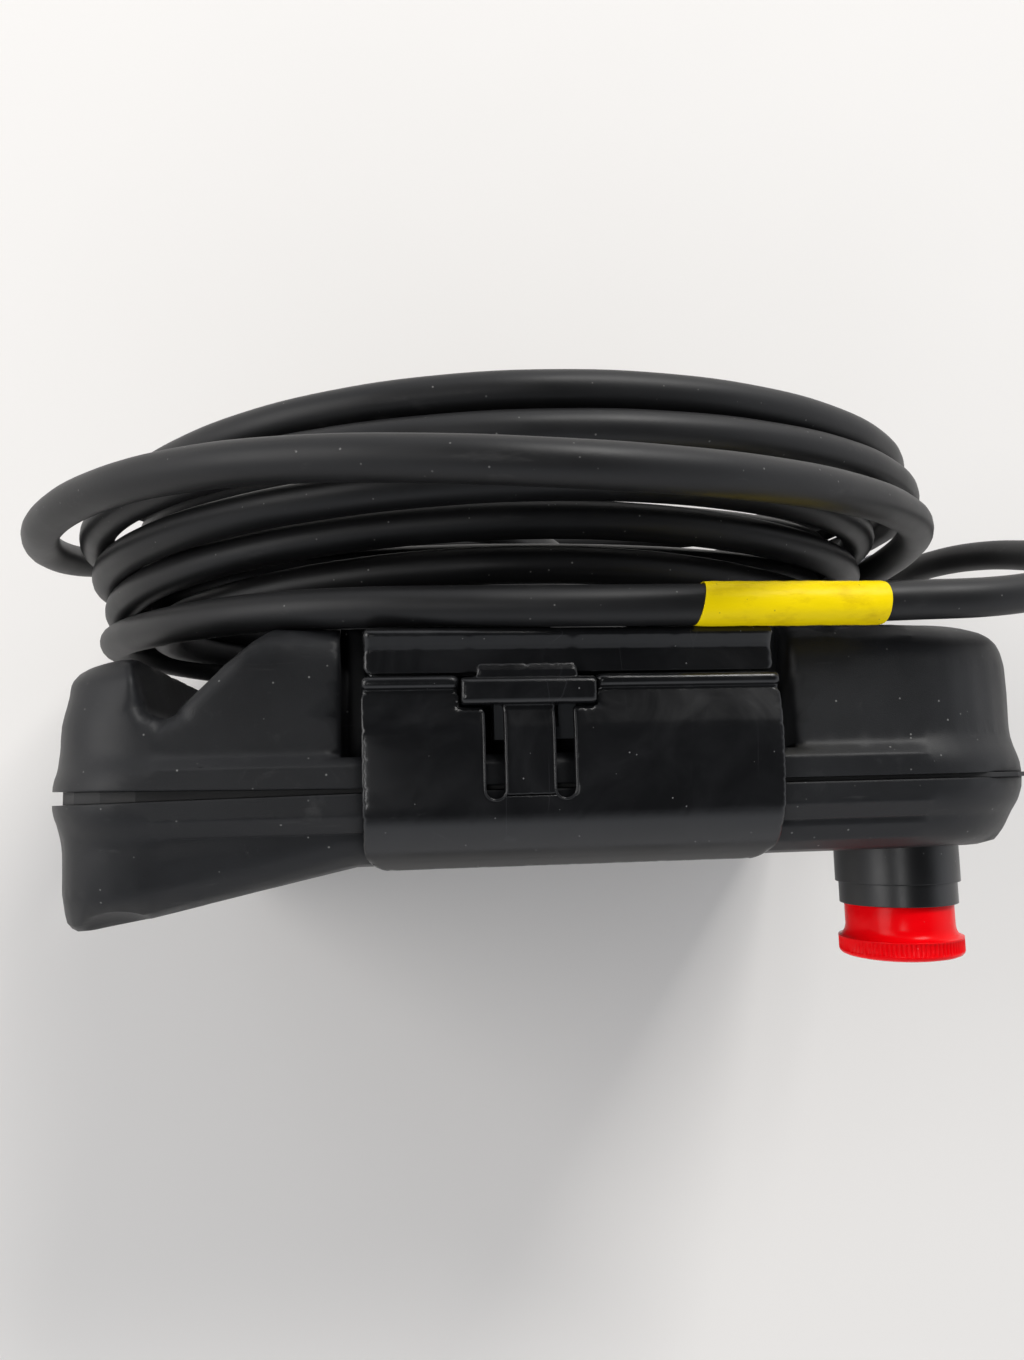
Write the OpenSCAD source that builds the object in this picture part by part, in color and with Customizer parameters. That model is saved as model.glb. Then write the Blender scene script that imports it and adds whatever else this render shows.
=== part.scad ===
// Hand-held teach pendant: a two-shell case with a finger channel, an emergency stop,
// a display and keys on its front, a clip-on cover on its top edge, and a coiled cable.
// x runs to the right seen from the front, y to the rear, z up from the standing edge.
// "Depth" below is the distance behind the parting plane of the two shells.

/* [Case] */
// Width across the bumper lip
case_w = 293; // [286:1:304]
// Height across the bumper lip
case_h = 235; // [232:1:244]
// Depth of the front shell
front_d = 21; // [20:0.5:24]
// Depth of the rear shell
rear_d = 45.5; // [44:0.5:50]
// Depth of the rear shell at the grip lobe
lobe_d = 38; // [37:0.5:41]
// Reach of the grip in front of the parting plane
grip_d = 36.5; // [34:0.5:40]
// Wall thickness of both shells
wall = 3; // [2.5:0.1:3.4]
// Gap between the shells where they are closest
seam_gap = 1.4; // [1:0.1:2]
// How much each side of the gap opens at the grip
seam_flare = 1.2; // [0.4:0.1:1.6]
// Height of the bumper lip over the walls
lip = 3; // [2:0.5:4]
// Width of the bumper lip on each shell
lip_w = 6.5; // [5:0.5:8]
// Corner radius at the emergency stop
corner_stop = 45; // [38:1:52]
// Corner radius at the top of the grip
corner_grip = 30; // [24:1:36]
// Radius of the two lower corners
corner_low = 28; // [22:1:34]
// Edge radius of the front shell
front_edge = 13; // [10:0.5:14]
// Edge radius of the rear shell
rear_edge = 10; // [7:0.5:12]

/* [Finger channel] */
// Channel's centre from the left side
channel_in = 33.7; // [32:0.1:36]
// Depth of the channel's floor
channel_floor = 21; // [19:0.5:24]
// Radius of the channel's floor
channel_r = 5; // [4:0.5:6]
// Lean of the channel's wall on the lobe's side
lobe_lean = 17; // [12:1:20]
// Height where the channel starts
channel_z = 32; // [28:1:44]
// Width of the grip lobe and channel together
grip_w = 46.5; // [45:0.5:49]

/* [Enabling switch] */
// Length of the paddle
paddle_len = 110; // [90:1:124]
// Width of the paddle
paddle_w = 16; // [14:0.5:17]
// Thickness of the paddle
paddle_t = 5; // [4.5:0.25:6]
// Height of the paddle's middle
paddle_z = 118; // [108:1:126]
// How far the paddle stands out of the channel's wall
paddle_out = 2.4; // [1.5:0.1:3]
// Radius of the hinge pin
hinge_r = 1.25; // [1:0.05:1.5]

/* [Emergency stop] */
// Axis from the right side
stop_in = 37.7; // [34:0.5:44]
// Axis below the top edge
stop_down = 44; // [38:0.5:50]
// Radius of the knob
stop_r = 19; // [17:0.5:21]
// Radius of the knob's neck
neck_r = 16.6; // [15.5:0.1:16.8]
// Height of the collar's first ring
ring1_h = 11.9; // [9:0.1:14]
// Height of the collar's second ring
ring2_h = 6.8; // [5:0.1:9]
// Height of the neck between collar and flare
neck_h = 6.7; // [5:0.1:9]
// Height of the flare
flare_h = 3.7; // [2.5:0.1:5]
// Height of the gripping band
band_h = 4.3; // [3:0.1:6]
// Height of the domed face
dome_h = 2.9; // [2:0.1:4]
// Push travel
stop_travel = 4; // [3:0.5:4.5]
// Radius of the threaded barrel
barrel_r = 11; // [10.5:0.5:12]
// Radius of the plunger
plunger_r = 5; // [4:0.5:5.5]

/* [Top cover] */
// Width of the cover
cover_w = 115; // [110:1:118]
// Middle of the cover
cover_x = -2.4; // [-5:0.1:0]
// Thickness of the cover
cover_t = 2.2; // [1.8:0.1:2.6]
// Width of the latch tongue
tongue_w = 14; // [10:0.5:16]
// Width of the slots beside the tongue
slot_w = 4.9; // [3:0.1:6]
// Middle of the latch tongue
tongue_x = -15.3; // [-20:0.1:-10]
// Width of the latch bar
bar_w = 36.4; // [32:0.1:40]
// Free gap between the bay's walls and the cover
bay_gap = 6; // [4:0.5:8]
// Depth of the bay below the top edge
bay_down = 15; // [13:0.5:18]

/* [Front panel] */
// Clear width between the grip's swelling and the window
window_side = 4; // [3:0.5:8]
// Height of the display window
window_h = 104; // [90:1:108]
// Clear width between the window and the jog keys' board
window_gap = 5.8; // [4:0.1:10]
// Window's upper edge below the top edge
window_down = 23; // [21:1:26]
// Thickness of the window
window_t = 2; // [1.5:0.1:2.4]
// Width of a key
key_w = 17; // [14:0.5:18]
// Height of a key
key_h = 12; // [10:0.5:12.5]
// How far a key stands out
key_out = 2.2; // [1.5:0.1:3]
// Travel of a key
key_travel = 1; // [0.5:0.1:1.2]
// Distance between jog keys across
jog_dx = 22; // [20:0.5:23]
// Distance between jog keys up and down
jog_dz = 18; // [16:0.5:19]
// Gap between function keys
soft_gap = 8; // [6:0.5:9]

/* [Cable] */
// Diameter of the cable
cord_d = 11.5; // [10:0.5:12.5]
// Gland from the middle to the right
gland_x = 20; // [10:1:26]
// Height of the gland
gland_z = 150; // [140:1:156]
// Downward tilt of the gland
gland_tilt = 50; // [45:1:55]
// Radius of the gland's thread
gland_r = 9; // [8:0.5:10]

/* [Hidden] */

shell_color = [0.16, 0.16, 0.17];
gloss_color = [0.05, 0.05, 0.06];
rubber_color = [0.10, 0.10, 0.11];
metal_color = [0.72, 0.72, 0.74];
board_color = [0.10, 0.35, 0.20];
key_color = [0.55, 0.57, 0.60];

$fn = 48;
corner_fn = 32;       // roundness of the corners inside a hull
rim = 0.2;            // thickness of one layer of a hull
snug = 0.05;          // gap between fixed faces that touch
fit = 0.08;           // radial running clearance
cut = 1;              // how far a cutter passes the face it cuts

left = -case_w / 2;
right = case_w / 2;
top = case_h;
stop_x = right - stop_in;
stop_z = top - stop_down;

// Cable boss: its radius and how far it stands out of the rear face
boss_r = 15;
boss_out = 14;

// The parting plane's place, with the whole depth, from stop to boss, centred on y = 0
stop_face = front_d + ring1_h + ring2_h + neck_h + flare_h + band_h + dome_h;
boss_face = rear_d + boss_out * cos(gland_tilt) + boss_r * sin(gland_tilt);
seam_y = (stop_face - boss_face) / 2;

// Walls stand inside the bumper lip
draft = 1.2;
lip_run = 3.5;        // depth over which the lip falls back to the wall

// ---------- placing helpers ----------

// A box given by its x, depth and height ranges
module block(x, d, z) {
    translate([x[0], seam_y + d[0], z[0]]) cube([x[1] - x[0], d[1] - d[0], z[1] - z[0]]);
}

// An outline of x and depth, extruded upwards
module plan(points, z0, z1) {
    translate([0, seam_y, z0]) linear_extrude(z1 - z0) polygon(points);
}

// A profile of depth and height, extruded to the right
module profile(points, x0, x1) {
    translate([x0, seam_y, 0]) rotate([90, 0, 90]) linear_extrude(x1 - x0) polygon(points);
}

// Children with their own z axis pointing out of the front, from the parting plane
module front_axis(x, z) {
    translate([x, seam_y, z]) rotate([90, 0, 0]) children();
}

// Children with their own z axis pointing out of the rear, from the parting plane
module rear_axis(x, z) {
    translate([x, seam_y, z]) rotate([-90, 0, 0]) children();
}

// A flat plate with round corners, standing on its back, from depth d0 to d1
module panel(x, z, d, r) {
    translate([0, seam_y + d[1], 0]) rotate([90, 0, 0]) linear_extrude(d[1] - d[0])
        polygon(rounded_box(x[0], x[1], z[0], z[1], r));
}

function arc(cx, cy, r, a0, a1, steps) =
    [for (i = [0:steps]) let(a = a0 + (a1 - a0) * i / steps) [cx + r * cos(a), cy + r * sin(a)]];

function rounded_box(x0, x1, y0, y1, r) = concat(
    arc(x1 - r, y1 - r, r, 0, 90, 4), arc(x0 + r, y1 - r, r, 90, 180, 4),
    arc(x0 + r, y0 + r, r, 180, 270, 4), arc(x1 - r, y0 + r, r, 270, 360, 4));

// ---------- shell forms ----------

// One thin layer of a shell: its depth, and how far it lies inside the lip's outline
module layer(x0, x1, radii, d, in_left, in_right, in_top) {
    corners = [
        [x0 + in_left, in_top, radii[0], 1, 1],
        [x1 - in_right, in_top, radii[1], -1, 1],
        [x1 - in_right, top - in_top, radii[2], -1, -1],
        [x0 + in_left, top - in_top, radii[3], 1, -1]
    ];
    for (c = corners) {
        r = max(c[2] - in_top, 1);
        translate([c[0] + c[3] * r, seam_y + d, c[1] + c[4] * r]) rotate([90, 0, 0])
            cylinder(r = r, h = rim, center = true, $fn = r > 2 ? corner_fn : 12);
    }
}

// Layers of [depth, left inset, right inset, upper and lower inset], joined in one form
case_radii = [corner_low, corner_low, corner_stop, corner_grip];
main_radii = [1, corner_low, corner_stop, 1];
lobe_radii = [corner_low, 1, 1, corner_grip];
main_left = left + grip_w;
grip_end = left + 84.5;   // where the swollen grip meets the flat front
main_edge = 12;       // edge radius of the rear bulge beside the channel

// Depth of a form's first layer: inside the lip, or past the mating face for a cavity
function first_layer(g) = g > 0 ? -cut : lip_w / 2;

// Depth of a shell's mating face, which stands off the other shell along the grip
function seam_face(x) = seam_gap / 2 + seam_flare * (grip_end - x) / (grip_end - left);

seam_wedge = [[grip_end + 25, -cut], [grip_end + 25, seam_face(grip_end + 25)],
              [left - cut, seam_face(left - cut)], [left - cut, -cut]];

// Solid lip of the rear shell, from its mating face
module lip_form() {
    difference() {
        hull() {
            layer(left, right, case_radii, (seam_gap + rim) / 2, 0, 0, 0);
            layer(left, right, case_radii, lip_w, 0, 0, 0);
            layer(left, right, case_radii, lip_w + 1.3 * lip_run, 1.3 * lip, 1.3 * lip, 1.3 * lip);
        }
        plan(seam_wedge, -cut, top + cut);
    }
}

// Rear bulge, g millimetres inside its outer face
function main_layers(g) = concat([[first_layer(g), g, lip + g, lip + g]],
    [for (a = [0:30:90])
        [rear_d - rear_edge + (rear_edge - g) * sin(a),
         main_edge - (main_edge - g) * cos(a),
         lip + draft + rear_edge - (rear_edge - g) * cos(a),
         lip + draft + rear_edge - (rear_edge - g) * cos(a)]]);

// Grip lobe behind the parting plane, g millimetres inside its outer face
function lobe_layers(g) = [
    [first_layer(g), lip + g, 0, lip + g],
    [17.5, lip + 0.5 + g, 0, lip + 0.5 + g],
    [lobe_d - 4 - g / 2, lip + 5.5 + g, 0, lip + 1.5 + g],
    [lobe_d - 1.2 - g, lip + 9 + g, 0, lip + 3.5 + g],
    [lobe_d - g, lip + 14 + g, 0, lip + 7 + g]];

module rear_form(g) {
    hull() {
        for (l = main_layers(g)) layer(main_left, right, main_radii, l[0], l[1], l[2], l[3]);
        for (l = lobe_layers(g)) layer(left, main_left + 14, lobe_radii, l[0], l[1], l[2], l[3]);
    }
}

// The front form is a row of rings, each standing across the case at one x.
wall_d = 8;           // depth at which the front's edges begin to round
wall_draft = 1;
left_steps = [0, 0.8, 1.8, 3.2, 5, 7.5, 12, 18, 25, 28];
right_steps = [42, 33, 25, 18, 12.7, 8.5, 5, 2.5, 0.8, 0];

// Depth of the front face along x: the swollen grip, its slope and the flat front
front_line = concat(
    [for (p = [[0, 12], [0.8, 22], [1.8, 29], [3.2, 33.6], [5, 36], [7.5, 36.5], [12, 35.9]])
        [left + lip + p[0], front_d + (p[1] - front_d) * (grip_d - front_d) / 15.5]],
    [[grip_end, front_d]],
    [for (p = [[14, 1], [8, 0.9], [4, 0.7], [1.5, 0.4], [0, 0.08]])
        [right - lip - p[0], wall_d + (front_d - wall_d) * p[1]]]);

// How far a round corner of radius r draws the outline in, at distance s from its end
function corner_in(s, r) = s >= r ? 0 : r - sqrt(r * r - (r - s) * (r - s));

// Ring at x as [depth, z] points, g millimetres inside the outer face
function front_ring(x, g) = let(
    from_left = x - left - lip - g,
    from_right = right - lip - g - x,
    low = lip + g + max(corner_in(from_left, corner_low - lip - g), corner_in(from_right, corner_low - lip - g)),
    high = top - lip - g
        - max(corner_in(from_left, corner_grip - lip - g), corner_in(from_right, corner_stop - lip - g)),
    face = lookup(x, front_line) - g,
    round = min(front_edge, face - wall_d + 0.5),
    half = concat([[g > 0 ? cut : -lip_w / 2, 0]],
        [for (a = [0:22.5:90]) [-wall_d - (face - wall_d) * sin(a), wall_draft + round * (1 - cos(a))]]))
    concat([for (p = half) [p[0], low + p[1]]], [for (i = [5:-1:0]) [half[i][0], high - half[i][1]]]);

module front_form(g) {
    xs = concat([for (s = left_steps) left + lip + g + s], [grip_end],
        [for (s = right_steps) right - lip - g - s]);
    rings = [for (x = xs) [for (p = front_ring(x, g)) [x, seam_y + p[0], p[1]]]];
    n = len(rings[0]);
    walls = [for (i = [0:len(xs) - 2], k = [0:n - 1]) let(a = i * n, b = a + n, m = (k + 1) % n)
        each [[a + k, b + m, b + k], [a + k, a + m, b + m]]];
    polyhedron([for (r = rings) each r], concat([[for (k = [n - 1:-1:0]) k]], walls,
        [[for (k = [0:n - 1]) (len(xs) - 1) * n + k]]));
}

// ---------- finger channel ----------

channel_x = left + channel_in;
channel_mid = channel_floor + channel_r;
slope = 45;

// Outline of the channel, grown by g, with the room behind the grip lobe
function channel_points(g) = let(
    bottom = arc(channel_x, channel_mid, channel_r + g, 180 + lobe_lean, 360 - slope, 10),
    a = bottom[0],
    b = bottom[10],
    rise = lobe_d - g - a[1],
    reach = 60)
    concat([[left - reach, lobe_d - g + reach], [left - reach, lobe_d - g],
            [a[0] - rise * tan(lobe_lean), lobe_d - g]], bottom,
           [[b[0] + reach * cos(slope), b[1] + reach * sin(slope)]]);

// Children placed on the channel's sloping wall: x along the wall, y out of it
module on_slope(along) {
    translate([channel_x + channel_r * sin(slope) + along * cos(slope),
               seam_y + channel_mid - channel_r * cos(slope) + along * sin(slope), 0])
        rotate([0, 0, slope]) children();
}

// ---------- screws ----------

screw_r = 1.5;
head_r = 2.9;
head_h = 2.2;
post_r = 4.5;
head_seat = 6;        // depth of a screw head below the rear face

// Case screws as [x, z, depth of the rear face there]
case_screw_places = [
    [main_left + 22, 11, rear_d], [main_left + 22, top - 16, rear_d],
    [right - 72.5, top - 12, rear_d], [right - 46, 11, rear_d],
    [right - 13, 70, rear_d], [right - 13, 148, rear_d],
    [left + 14.5, 62, lobe_d], [left + 14.5, 178, lobe_d]];

module screw(length) {
    cylinder(r = head_r, h = head_h);
    translate([0, 0, -length]) cylinder(r = screw_r, h = length);
}

module case_screws() {
    color(metal_color) for (s = case_screw_places)
        rear_axis(s[0], s[1]) translate([0, 0, s[2] - head_seat]) screw(s[2] - head_seat + 8);
}

// ---------- main board ----------

board_d = 18;
board_t = 1.6;
board_x = [left + 76.5, right - 62.5];
board_z = [30, 190];
board_holes = [for (x = [board_x[0] + 6, board_x[1] - 6], z = [board_z[0] + 6, board_z[1] - 6]) [x, z]];
post_bore = 1.4;

module main_board() {
    color(board_color) difference() {
        block(board_x, [board_d, board_d + board_t], board_z);
        for (h = board_holes) rear_axis(h[0], h[1])
            translate([0, 0, board_d - cut]) cylinder(r = screw_r + 0.1, h = board_t + 2 * cut);
    }
    color(gloss_color) for (c = [[-40, 60, 22], [0, 100, 30], [44, 60, 18], [-36, 150, 14]])
        block([c[0], c[0] + c[2]], [board_d - 2.5, board_d + 0.5], [c[1], c[1] + c[2]]);
    color("white") block([-50, 50], [board_d - 6, board_d + 0.5], [board_z[0] + 12, board_z[0] + 18]);
}

module board_screws() {
    color(metal_color) for (h = board_holes)
        front_axis(h[0], h[1]) translate([0, 0, -board_d + snug]) {
            cylinder(r = head_r, h = 1.8);
            translate([0, 0, -8]) cylinder(r = post_bore - 0.05, h = 8);
        }
}

// ---------- cable gland ----------

cord_r = cord_d / 2;
boss_in = 14;
hex_r = 13.5;
hex_h = 5;
dome_r = 11;
relief_h = 22;
gland_bore = cord_r + 0.2;
gland_dome = 12;

// Children on the gland's axis, from the rear face
module gland_axis() {
    translate([gland_x, seam_y + rear_d, gland_z]) rotate([-90 - gland_tilt, 0, 0]) children();
}

module gland_body() {
    color(gloss_color) gland_axis() difference() {
        union() {
            translate([0, 0, -6]) cylinder(r = gland_r, h = boss_out + 6 + hex_h);
            translate([0, 0, boss_out + snug]) cylinder(r = hex_r, h = hex_h, $fn = 6);
        }
        translate([0, 0, -6 - cut]) cylinder(r = gland_bore, h = boss_out + 6 + hex_h + 2 * cut);
    }
}

module gland_nut() {
    color(gloss_color) gland_axis() translate([0, 0, boss_out + hex_h + 2 * snug]) difference() {
        union() {
            cylinder(r = dome_r + 1, h = gland_dome - 4);
            translate([0, 0, gland_dome - 4]) cylinder(r1 = dome_r + 1, r2 = dome_r - 2, h = 4);
        }
        translate([0, 0, -cut]) cylinder(r = gland_bore, h = gland_dome + 2 * cut);
    }
}

relief_at = boss_out + hex_h + gland_dome + 3 * snug;

module strain_relief() {
    color(rubber_color) gland_axis() translate([0, 0, relief_at]) difference() {
        cylinder(r1 = dome_r - 2.2, r2 = cord_r + 1, h = relief_h);
        translate([0, 0, -cut]) cylinder(r = cord_r + snug, h = relief_h + 2 * cut);
    }
}

// ---------- shells ----------

bay_x = [cover_x - cover_w / 2 - bay_gap, cover_x + cover_w / 2 + bay_gap];
bay_d0 = lip_w + lip_run - 1;
bay_z = top - bay_down;

module rear_cavity() {
    difference() {
        rear_form(wall);
        plan(channel_points(wall), channel_z - wall, top + cut);
        block([bay_x[0] - wall, bay_x[1] + wall], [bay_d0 - wall, rear_d + cut],
              [bay_z - wall, top + cut]);
    }
}

module rear_shell() {
    window = [paddle_at - 0.4, paddle_at + paddle_w + 0.4];
    color(shell_color) difference() {
        union() {
            difference() {
                union() {
                    lip_form();
                    rear_form(0);
                    gland_axis() translate([0, 0, -boss_in]) cylinder(r = boss_r, h = boss_in + boss_out);
                }
                rear_cavity();
            }
            intersection() {
                union() {
                    for (s = case_screw_places) rear_axis(s[0], s[1])
                        translate([0, 0, seam_gap / 2]) cylinder(r = post_r, h = s[2] - 1);
                    for (h = board_holes) rear_axis(h[0], h[1])
                        translate([0, 0, board_d + board_t + snug]) cylinder(r = 4, h = rear_d - board_d - 4);
                    for (end = [-1, 1]) on_slope(0)
                        translate([paddle_at - 1, -wall - 5, paddle_z + end * (paddle_len / 2 + 3.8) - 3])
                            cube([8, wall + 5, 6]);
                }
                rear_form(0.5);
            }
        }
        plan(channel_points(0), channel_z, top + cut);
        block(bay_x, [bay_d0, rear_d + cut], [bay_z, top + cut]);
        on_slope(0) translate([window[0], -wall - 9, paddle_z - paddle_len / 2 - 0.4])
            cube([window[1] - window[0], wall + 9 + cut, paddle_len + 0.8]);
        on_slope(0) translate([pin_at, pin_in, paddle_z - paddle_len / 2 - 6])
            cylinder(r = hinge_r + 0.03, h = paddle_len + 12);
        gland_axis() translate([0, 0, -boss_in - 20]) cylinder(r = gland_r + snug, h = boss_in + boss_out + 30);
        for (s = case_screw_places) rear_axis(s[0], s[1]) {
            translate([0, 0, -cut]) cylinder(r = screw_r + 0.2, h = s[2]);
            translate([0, 0, s[2] - head_seat - snug]) cylinder(r = head_r + 0.3, h = head_seat + cut);
        }
        for (h = board_holes) rear_axis(h[0], h[1])
            translate([0, 0, board_d]) cylinder(r = post_bore, h = board_t + 12);
        for (x = rail_screw_x) translate([x, seam_y + rail_screw_d, bay_z - wall - cut])
            cylinder(r = rail_screw_r + 0.2, h = wall + 2 * cut);
    }
}

// Thumb rest in the grip's front, open at the top edge
scoop_at = [left + 21.5, seam_y - grip_d - 14.5, top - 10];
scoop_r = 21;

module front_shell() {
    color(shell_color) difference() {
        union() {
            difference() {
                union() {
                    translate([0, 2 * seam_y, 0]) mirror([0, 1, 0]) lip_form();
                    front_form(0);
                }
                difference() {
                    front_form(wall);
                    translate(scoop_at) sphere(r = scoop_r + wall);
                }
            }
            intersection() {
                union() {
                    for (s = case_screw_places) front_axis(s[0], s[1])
                        translate([0, 0, seam_gap / 2])
                            cylinder(r = post_r, h = (s[0] < main_left ? grip_d : front_d) - 2);
                    for (p = display_posts) front_axis(p[0], p[1])
                        translate([0, 0, display_back + tab_t + snug])
                            cylinder(r = 3.5, h = front_d - 1 - tab_t - display_back);
                    for (p = keypad_posts) front_axis(p[0], p[1])
                        translate([0, 0, keys_back]) cylinder(r = 3, h = front_d - 1 - keys_back);
                }
                front_form(1);
            }
        }
        translate(scoop_at) sphere(r = scoop_r);
        for (s = case_screw_places) front_axis(s[0], s[1])
            translate([0, 0, -cut]) cylinder(r = screw_r + 0.05, h = 10);
        for (p = display_posts) front_axis(p[0], p[1]) cylinder(r = post_bore, h = front_d - wall);
        for (p = keypad_posts) front_axis(p[0], p[1]) cylinder(r = post_bore, h = front_d - wall);
        panel(window_xs, window_zs, [-front_d - cut, -front_d + window_t], 4);
        panel([window_xs[0] + 4, window_xs[1] - 4], [window_zs[0] + 4, window_zs[1] - 4],
              [-front_d - cut, -front_d + wall + cut], 2);
        for (k = key_places) key_hole(k);
        front_axis(stop_x, stop_z) translate([0, 0, front_d - wall - 6])
            cylinder(r = barrel_r + 0.2, h = wall + 8);
    }
}

lip_core = 3.2;       // how far the gasket lies inside the lip's edge
gasket_w = 3.4;

module shell_gasket() {
    half = seam_gap / 2 - snug;
    flared = half + seam_flare;
    color(rubber_color) difference() {
        intersection() {
            panel([left + lip_core, right - lip_core], [lip_core, top - lip_core], [-wall, wall],
                  corner_low - lip_core);
            plan([[left, -flared], [grip_end, -half], [right, -half],
                  [right, half], [grip_end, half], [left, flared]], -cut, top + cut);
        }
        panel([left + lip_core + gasket_w, right - lip_core - gasket_w],
              [lip_core + gasket_w, top - lip_core - gasket_w], [-wall - cut, wall + cut],
              corner_low - lip_core - gasket_w);
        for (s = case_screw_places) rear_axis(s[0], s[1])
            translate([0, 0, -wall - cut]) cylinder(r = screw_r + 0.2, h = 2 * wall + 2 * cut);
    }
}

// ---------- display ----------

jog_x = stop_x - 5;
column_x = jog_x - jog_dx / 2 - key_w / 2 - 2.5;
window_xs = [grip_end + window_side, column_x - window_gap];
window_zs = [top - window_down - window_h, top - window_down];
display_back = 8;     // depth of the display module's back in front of the parting plane
tab_t = 2;            // thickness of its corner tabs
display_posts = [for (x = [window_xs[0] + 14, window_xs[1] - 14], z = [window_zs[0] - 3, window_zs[1] + 3])
    [x, z]];

module display_window() {
    color([0.08, 0.10, 0.12]) difference() {
        panel([window_xs[0] + 0.15, window_xs[1] - 0.15], [window_zs[0] + 0.15, window_zs[1] - 0.15],
              [-front_d + 0.2, -front_d + window_t - snug], 3.85);
    }
}

module display_module() {
    face = -front_d + wall + snug;
    color([0.25, 0.27, 0.30]) difference() {
        union() {
            block([window_xs[0] + 1, window_xs[1] - 1], [face, -display_back], [window_zs[0] - 3, window_zs[1] + 3]);
            block([window_xs[0] + 5, window_xs[1] - 5], [-front_d + window_t + snug, face],
                  [window_zs[0] + 5, window_zs[1] - 5]);
        }
        for (p = display_posts) block([p[0] - 6.2, p[0] + 6.2], 
            [face - cut, -display_back - tab_t], [p[1] - 6.2, p[1] + 6.2]);
        for (p = display_posts) front_axis(p[0], p[1]) cylinder(r = screw_r + 0.1, h = front_d - wall);
    }
}

module display_screws() {
    color(metal_color) for (p = display_posts) rear_axis(p[0], p[1]) translate([0, 0, -display_back + snug]) {
        cylinder(r = head_r, h = 1.8);
        translate([0, 0, -7]) cylinder(r = post_bore - 0.05, h = 7);
    }
}

// ---------- keys ----------

flange = 1;           // width of the edge that holds a key behind the shell
flange_t = 1.1;
key_gap = 0.3;
keys_back = front_d - wall - 3.4;    // back of the rubber mat, in front of the parting plane
mat_t = 3.2;
soft_z = window_zs[0] - 16;

// Keys as [x, z]: five under the window, twelve in two columns under the emergency stop
soft_in = 9;          // first and last function key's middle inside the window's edges
soft_dx = (window_xs[1] - window_xs[0] - soft_in - 25) / 4;
soft_w = soft_dx - soft_gap;
soft_places = [for (i = [0:4]) [window_xs[0] + soft_in + i * soft_dx, soft_z, soft_w]];
jog_places = [for (row = [0:5], col = [0, 1])
    [jog_x + (col - 0.5) * jog_dx, stop_z - stop_r - 19 - row * jog_dz, key_w]];
key_places = concat(soft_places, jog_places);
mat_x = [soft_places[0][0] - soft_w / 2 - 5, jog_x + jog_dx / 2 + key_w / 2 + 3.5];
mat_low = [jog_places[11][1] - key_h / 2 - 5, soft_z + key_h / 2 + 3];
mat_high = [mat_low[1], jog_places[0][1] + key_h / 2 + 4];
keypad_posts = [[mat_x[0] + 8, mat_low[0] + 8], [column_x - 12, mat_low[0] + 8],
                [soft_places[2][0] + soft_dx / 2, mat_low[0] + 24]];

module key_hole(k) {
    panel([k[0] - k[2] / 2 - key_gap, k[0] + k[2] / 2 + key_gap],
          [k[1] - key_h / 2 - key_gap, k[1] + key_h / 2 + key_gap],
          [-front_d - cut, -front_d + wall + cut], 2.3);
}

module key(i) {
    k = key_places[i];
    back = -front_d + wall + snug;
    color(key_color) {
        hull() {
            panel([k[0] - k[2] / 2, k[0] + k[2] / 2], [k[1] - key_h / 2, k[1] + key_h / 2],
                  [-front_d - key_out + 0.8, back], 2);
            panel([k[0] - k[2] / 2 + 1, k[0] + k[2] / 2 - 1], [k[1] - key_h / 2 + 1, k[1] + key_h / 2 - 1],
                  [-front_d - key_out, back], 2);
        }
        block([k[0] - k[2] / 2 - flange, k[0] + k[2] / 2 + flange], [back, back + flange_t],
              [k[1] - key_h / 2 - flange, k[1] + key_h / 2 + flange]);
    }
}

// Outline that the mat and its board share: a low field and a column under the stop
module key_field(d0, d1) {
    block(mat_x, [d0, d1], mat_low);
    block([column_x, mat_x[1]], [d0, d1], [mat_low[1] - 1, mat_high[1]]);
}

module keypad_mat() {
    front = -keys_back - mat_t;
    color([0.30, 0.30, 0.32]) difference() {
        key_field(front, -keys_back);
        for (k = key_places)
            block([k[0] - k[2] / 2 - flange - 0.3, k[0] + k[2] / 2 + flange + 0.3],
                  [front - cut, front + flange_t + key_travel + 0.5],
                  [k[1] - key_h / 2 - flange - 0.3, k[1] + key_h / 2 + flange + 0.3]);
        for (p = keypad_posts) front_axis(p[0], p[1]) cylinder(r = 3.3, h = front_d);
    }
}

module keypad_board() {
    color(board_color) difference() {
        key_field(-keys_back + snug, -keys_back + board_t);
        for (p = keypad_posts) front_axis(p[0], p[1]) cylinder(r = screw_r + 0.1, h = front_d);
    }
}

module keypad_screws() {
    color(metal_color) for (p = keypad_posts) rear_axis(p[0], p[1])
        translate([0, 0, -keys_back + board_t + snug]) {
            cylinder(r = head_r, h = 1.8);
            translate([0, 0, -4.5]) cylinder(r = post_bore - 0.05, h = 4.5);
        }
}

// ---------- emergency stop ----------

ring2_at = front_d + ring1_h;
neck_at = ring2_at + ring2_h;
collar_bore = neck_r + 0.4;
knob_back = ring2_at + 1.1;
collar_floor = knob_back - stop_travel - 1.2;
block_h = 30;
block_face = 8;

module estop_collar() {
    color(gloss_color) front_axis(stop_x, stop_z) difference() {
        union() {
            translate([0, 0, block_face]) cylinder(r = barrel_r, h = front_d);
            translate([0, 0, front_d + snug]) cylinder(r = stop_r, h = ring1_h - snug);
        }
        translate([0, 0, block_face - cut]) cylinder(r = plunger_r + 0.15, h = 40);
        translate([0, 0, collar_floor]) cylinder(r = collar_bore, h = 20);
    }
}

module estop_bezel() {
    color(gloss_color) front_axis(stop_x, stop_z) translate([0, 0, ring2_at + snug]) difference() {
        cylinder(r = stop_r - 1, h = ring2_h - snug);
        translate([0, 0, -cut]) cylinder(r = collar_bore, h = ring2_h + 2 * cut);
    }
}

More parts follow.
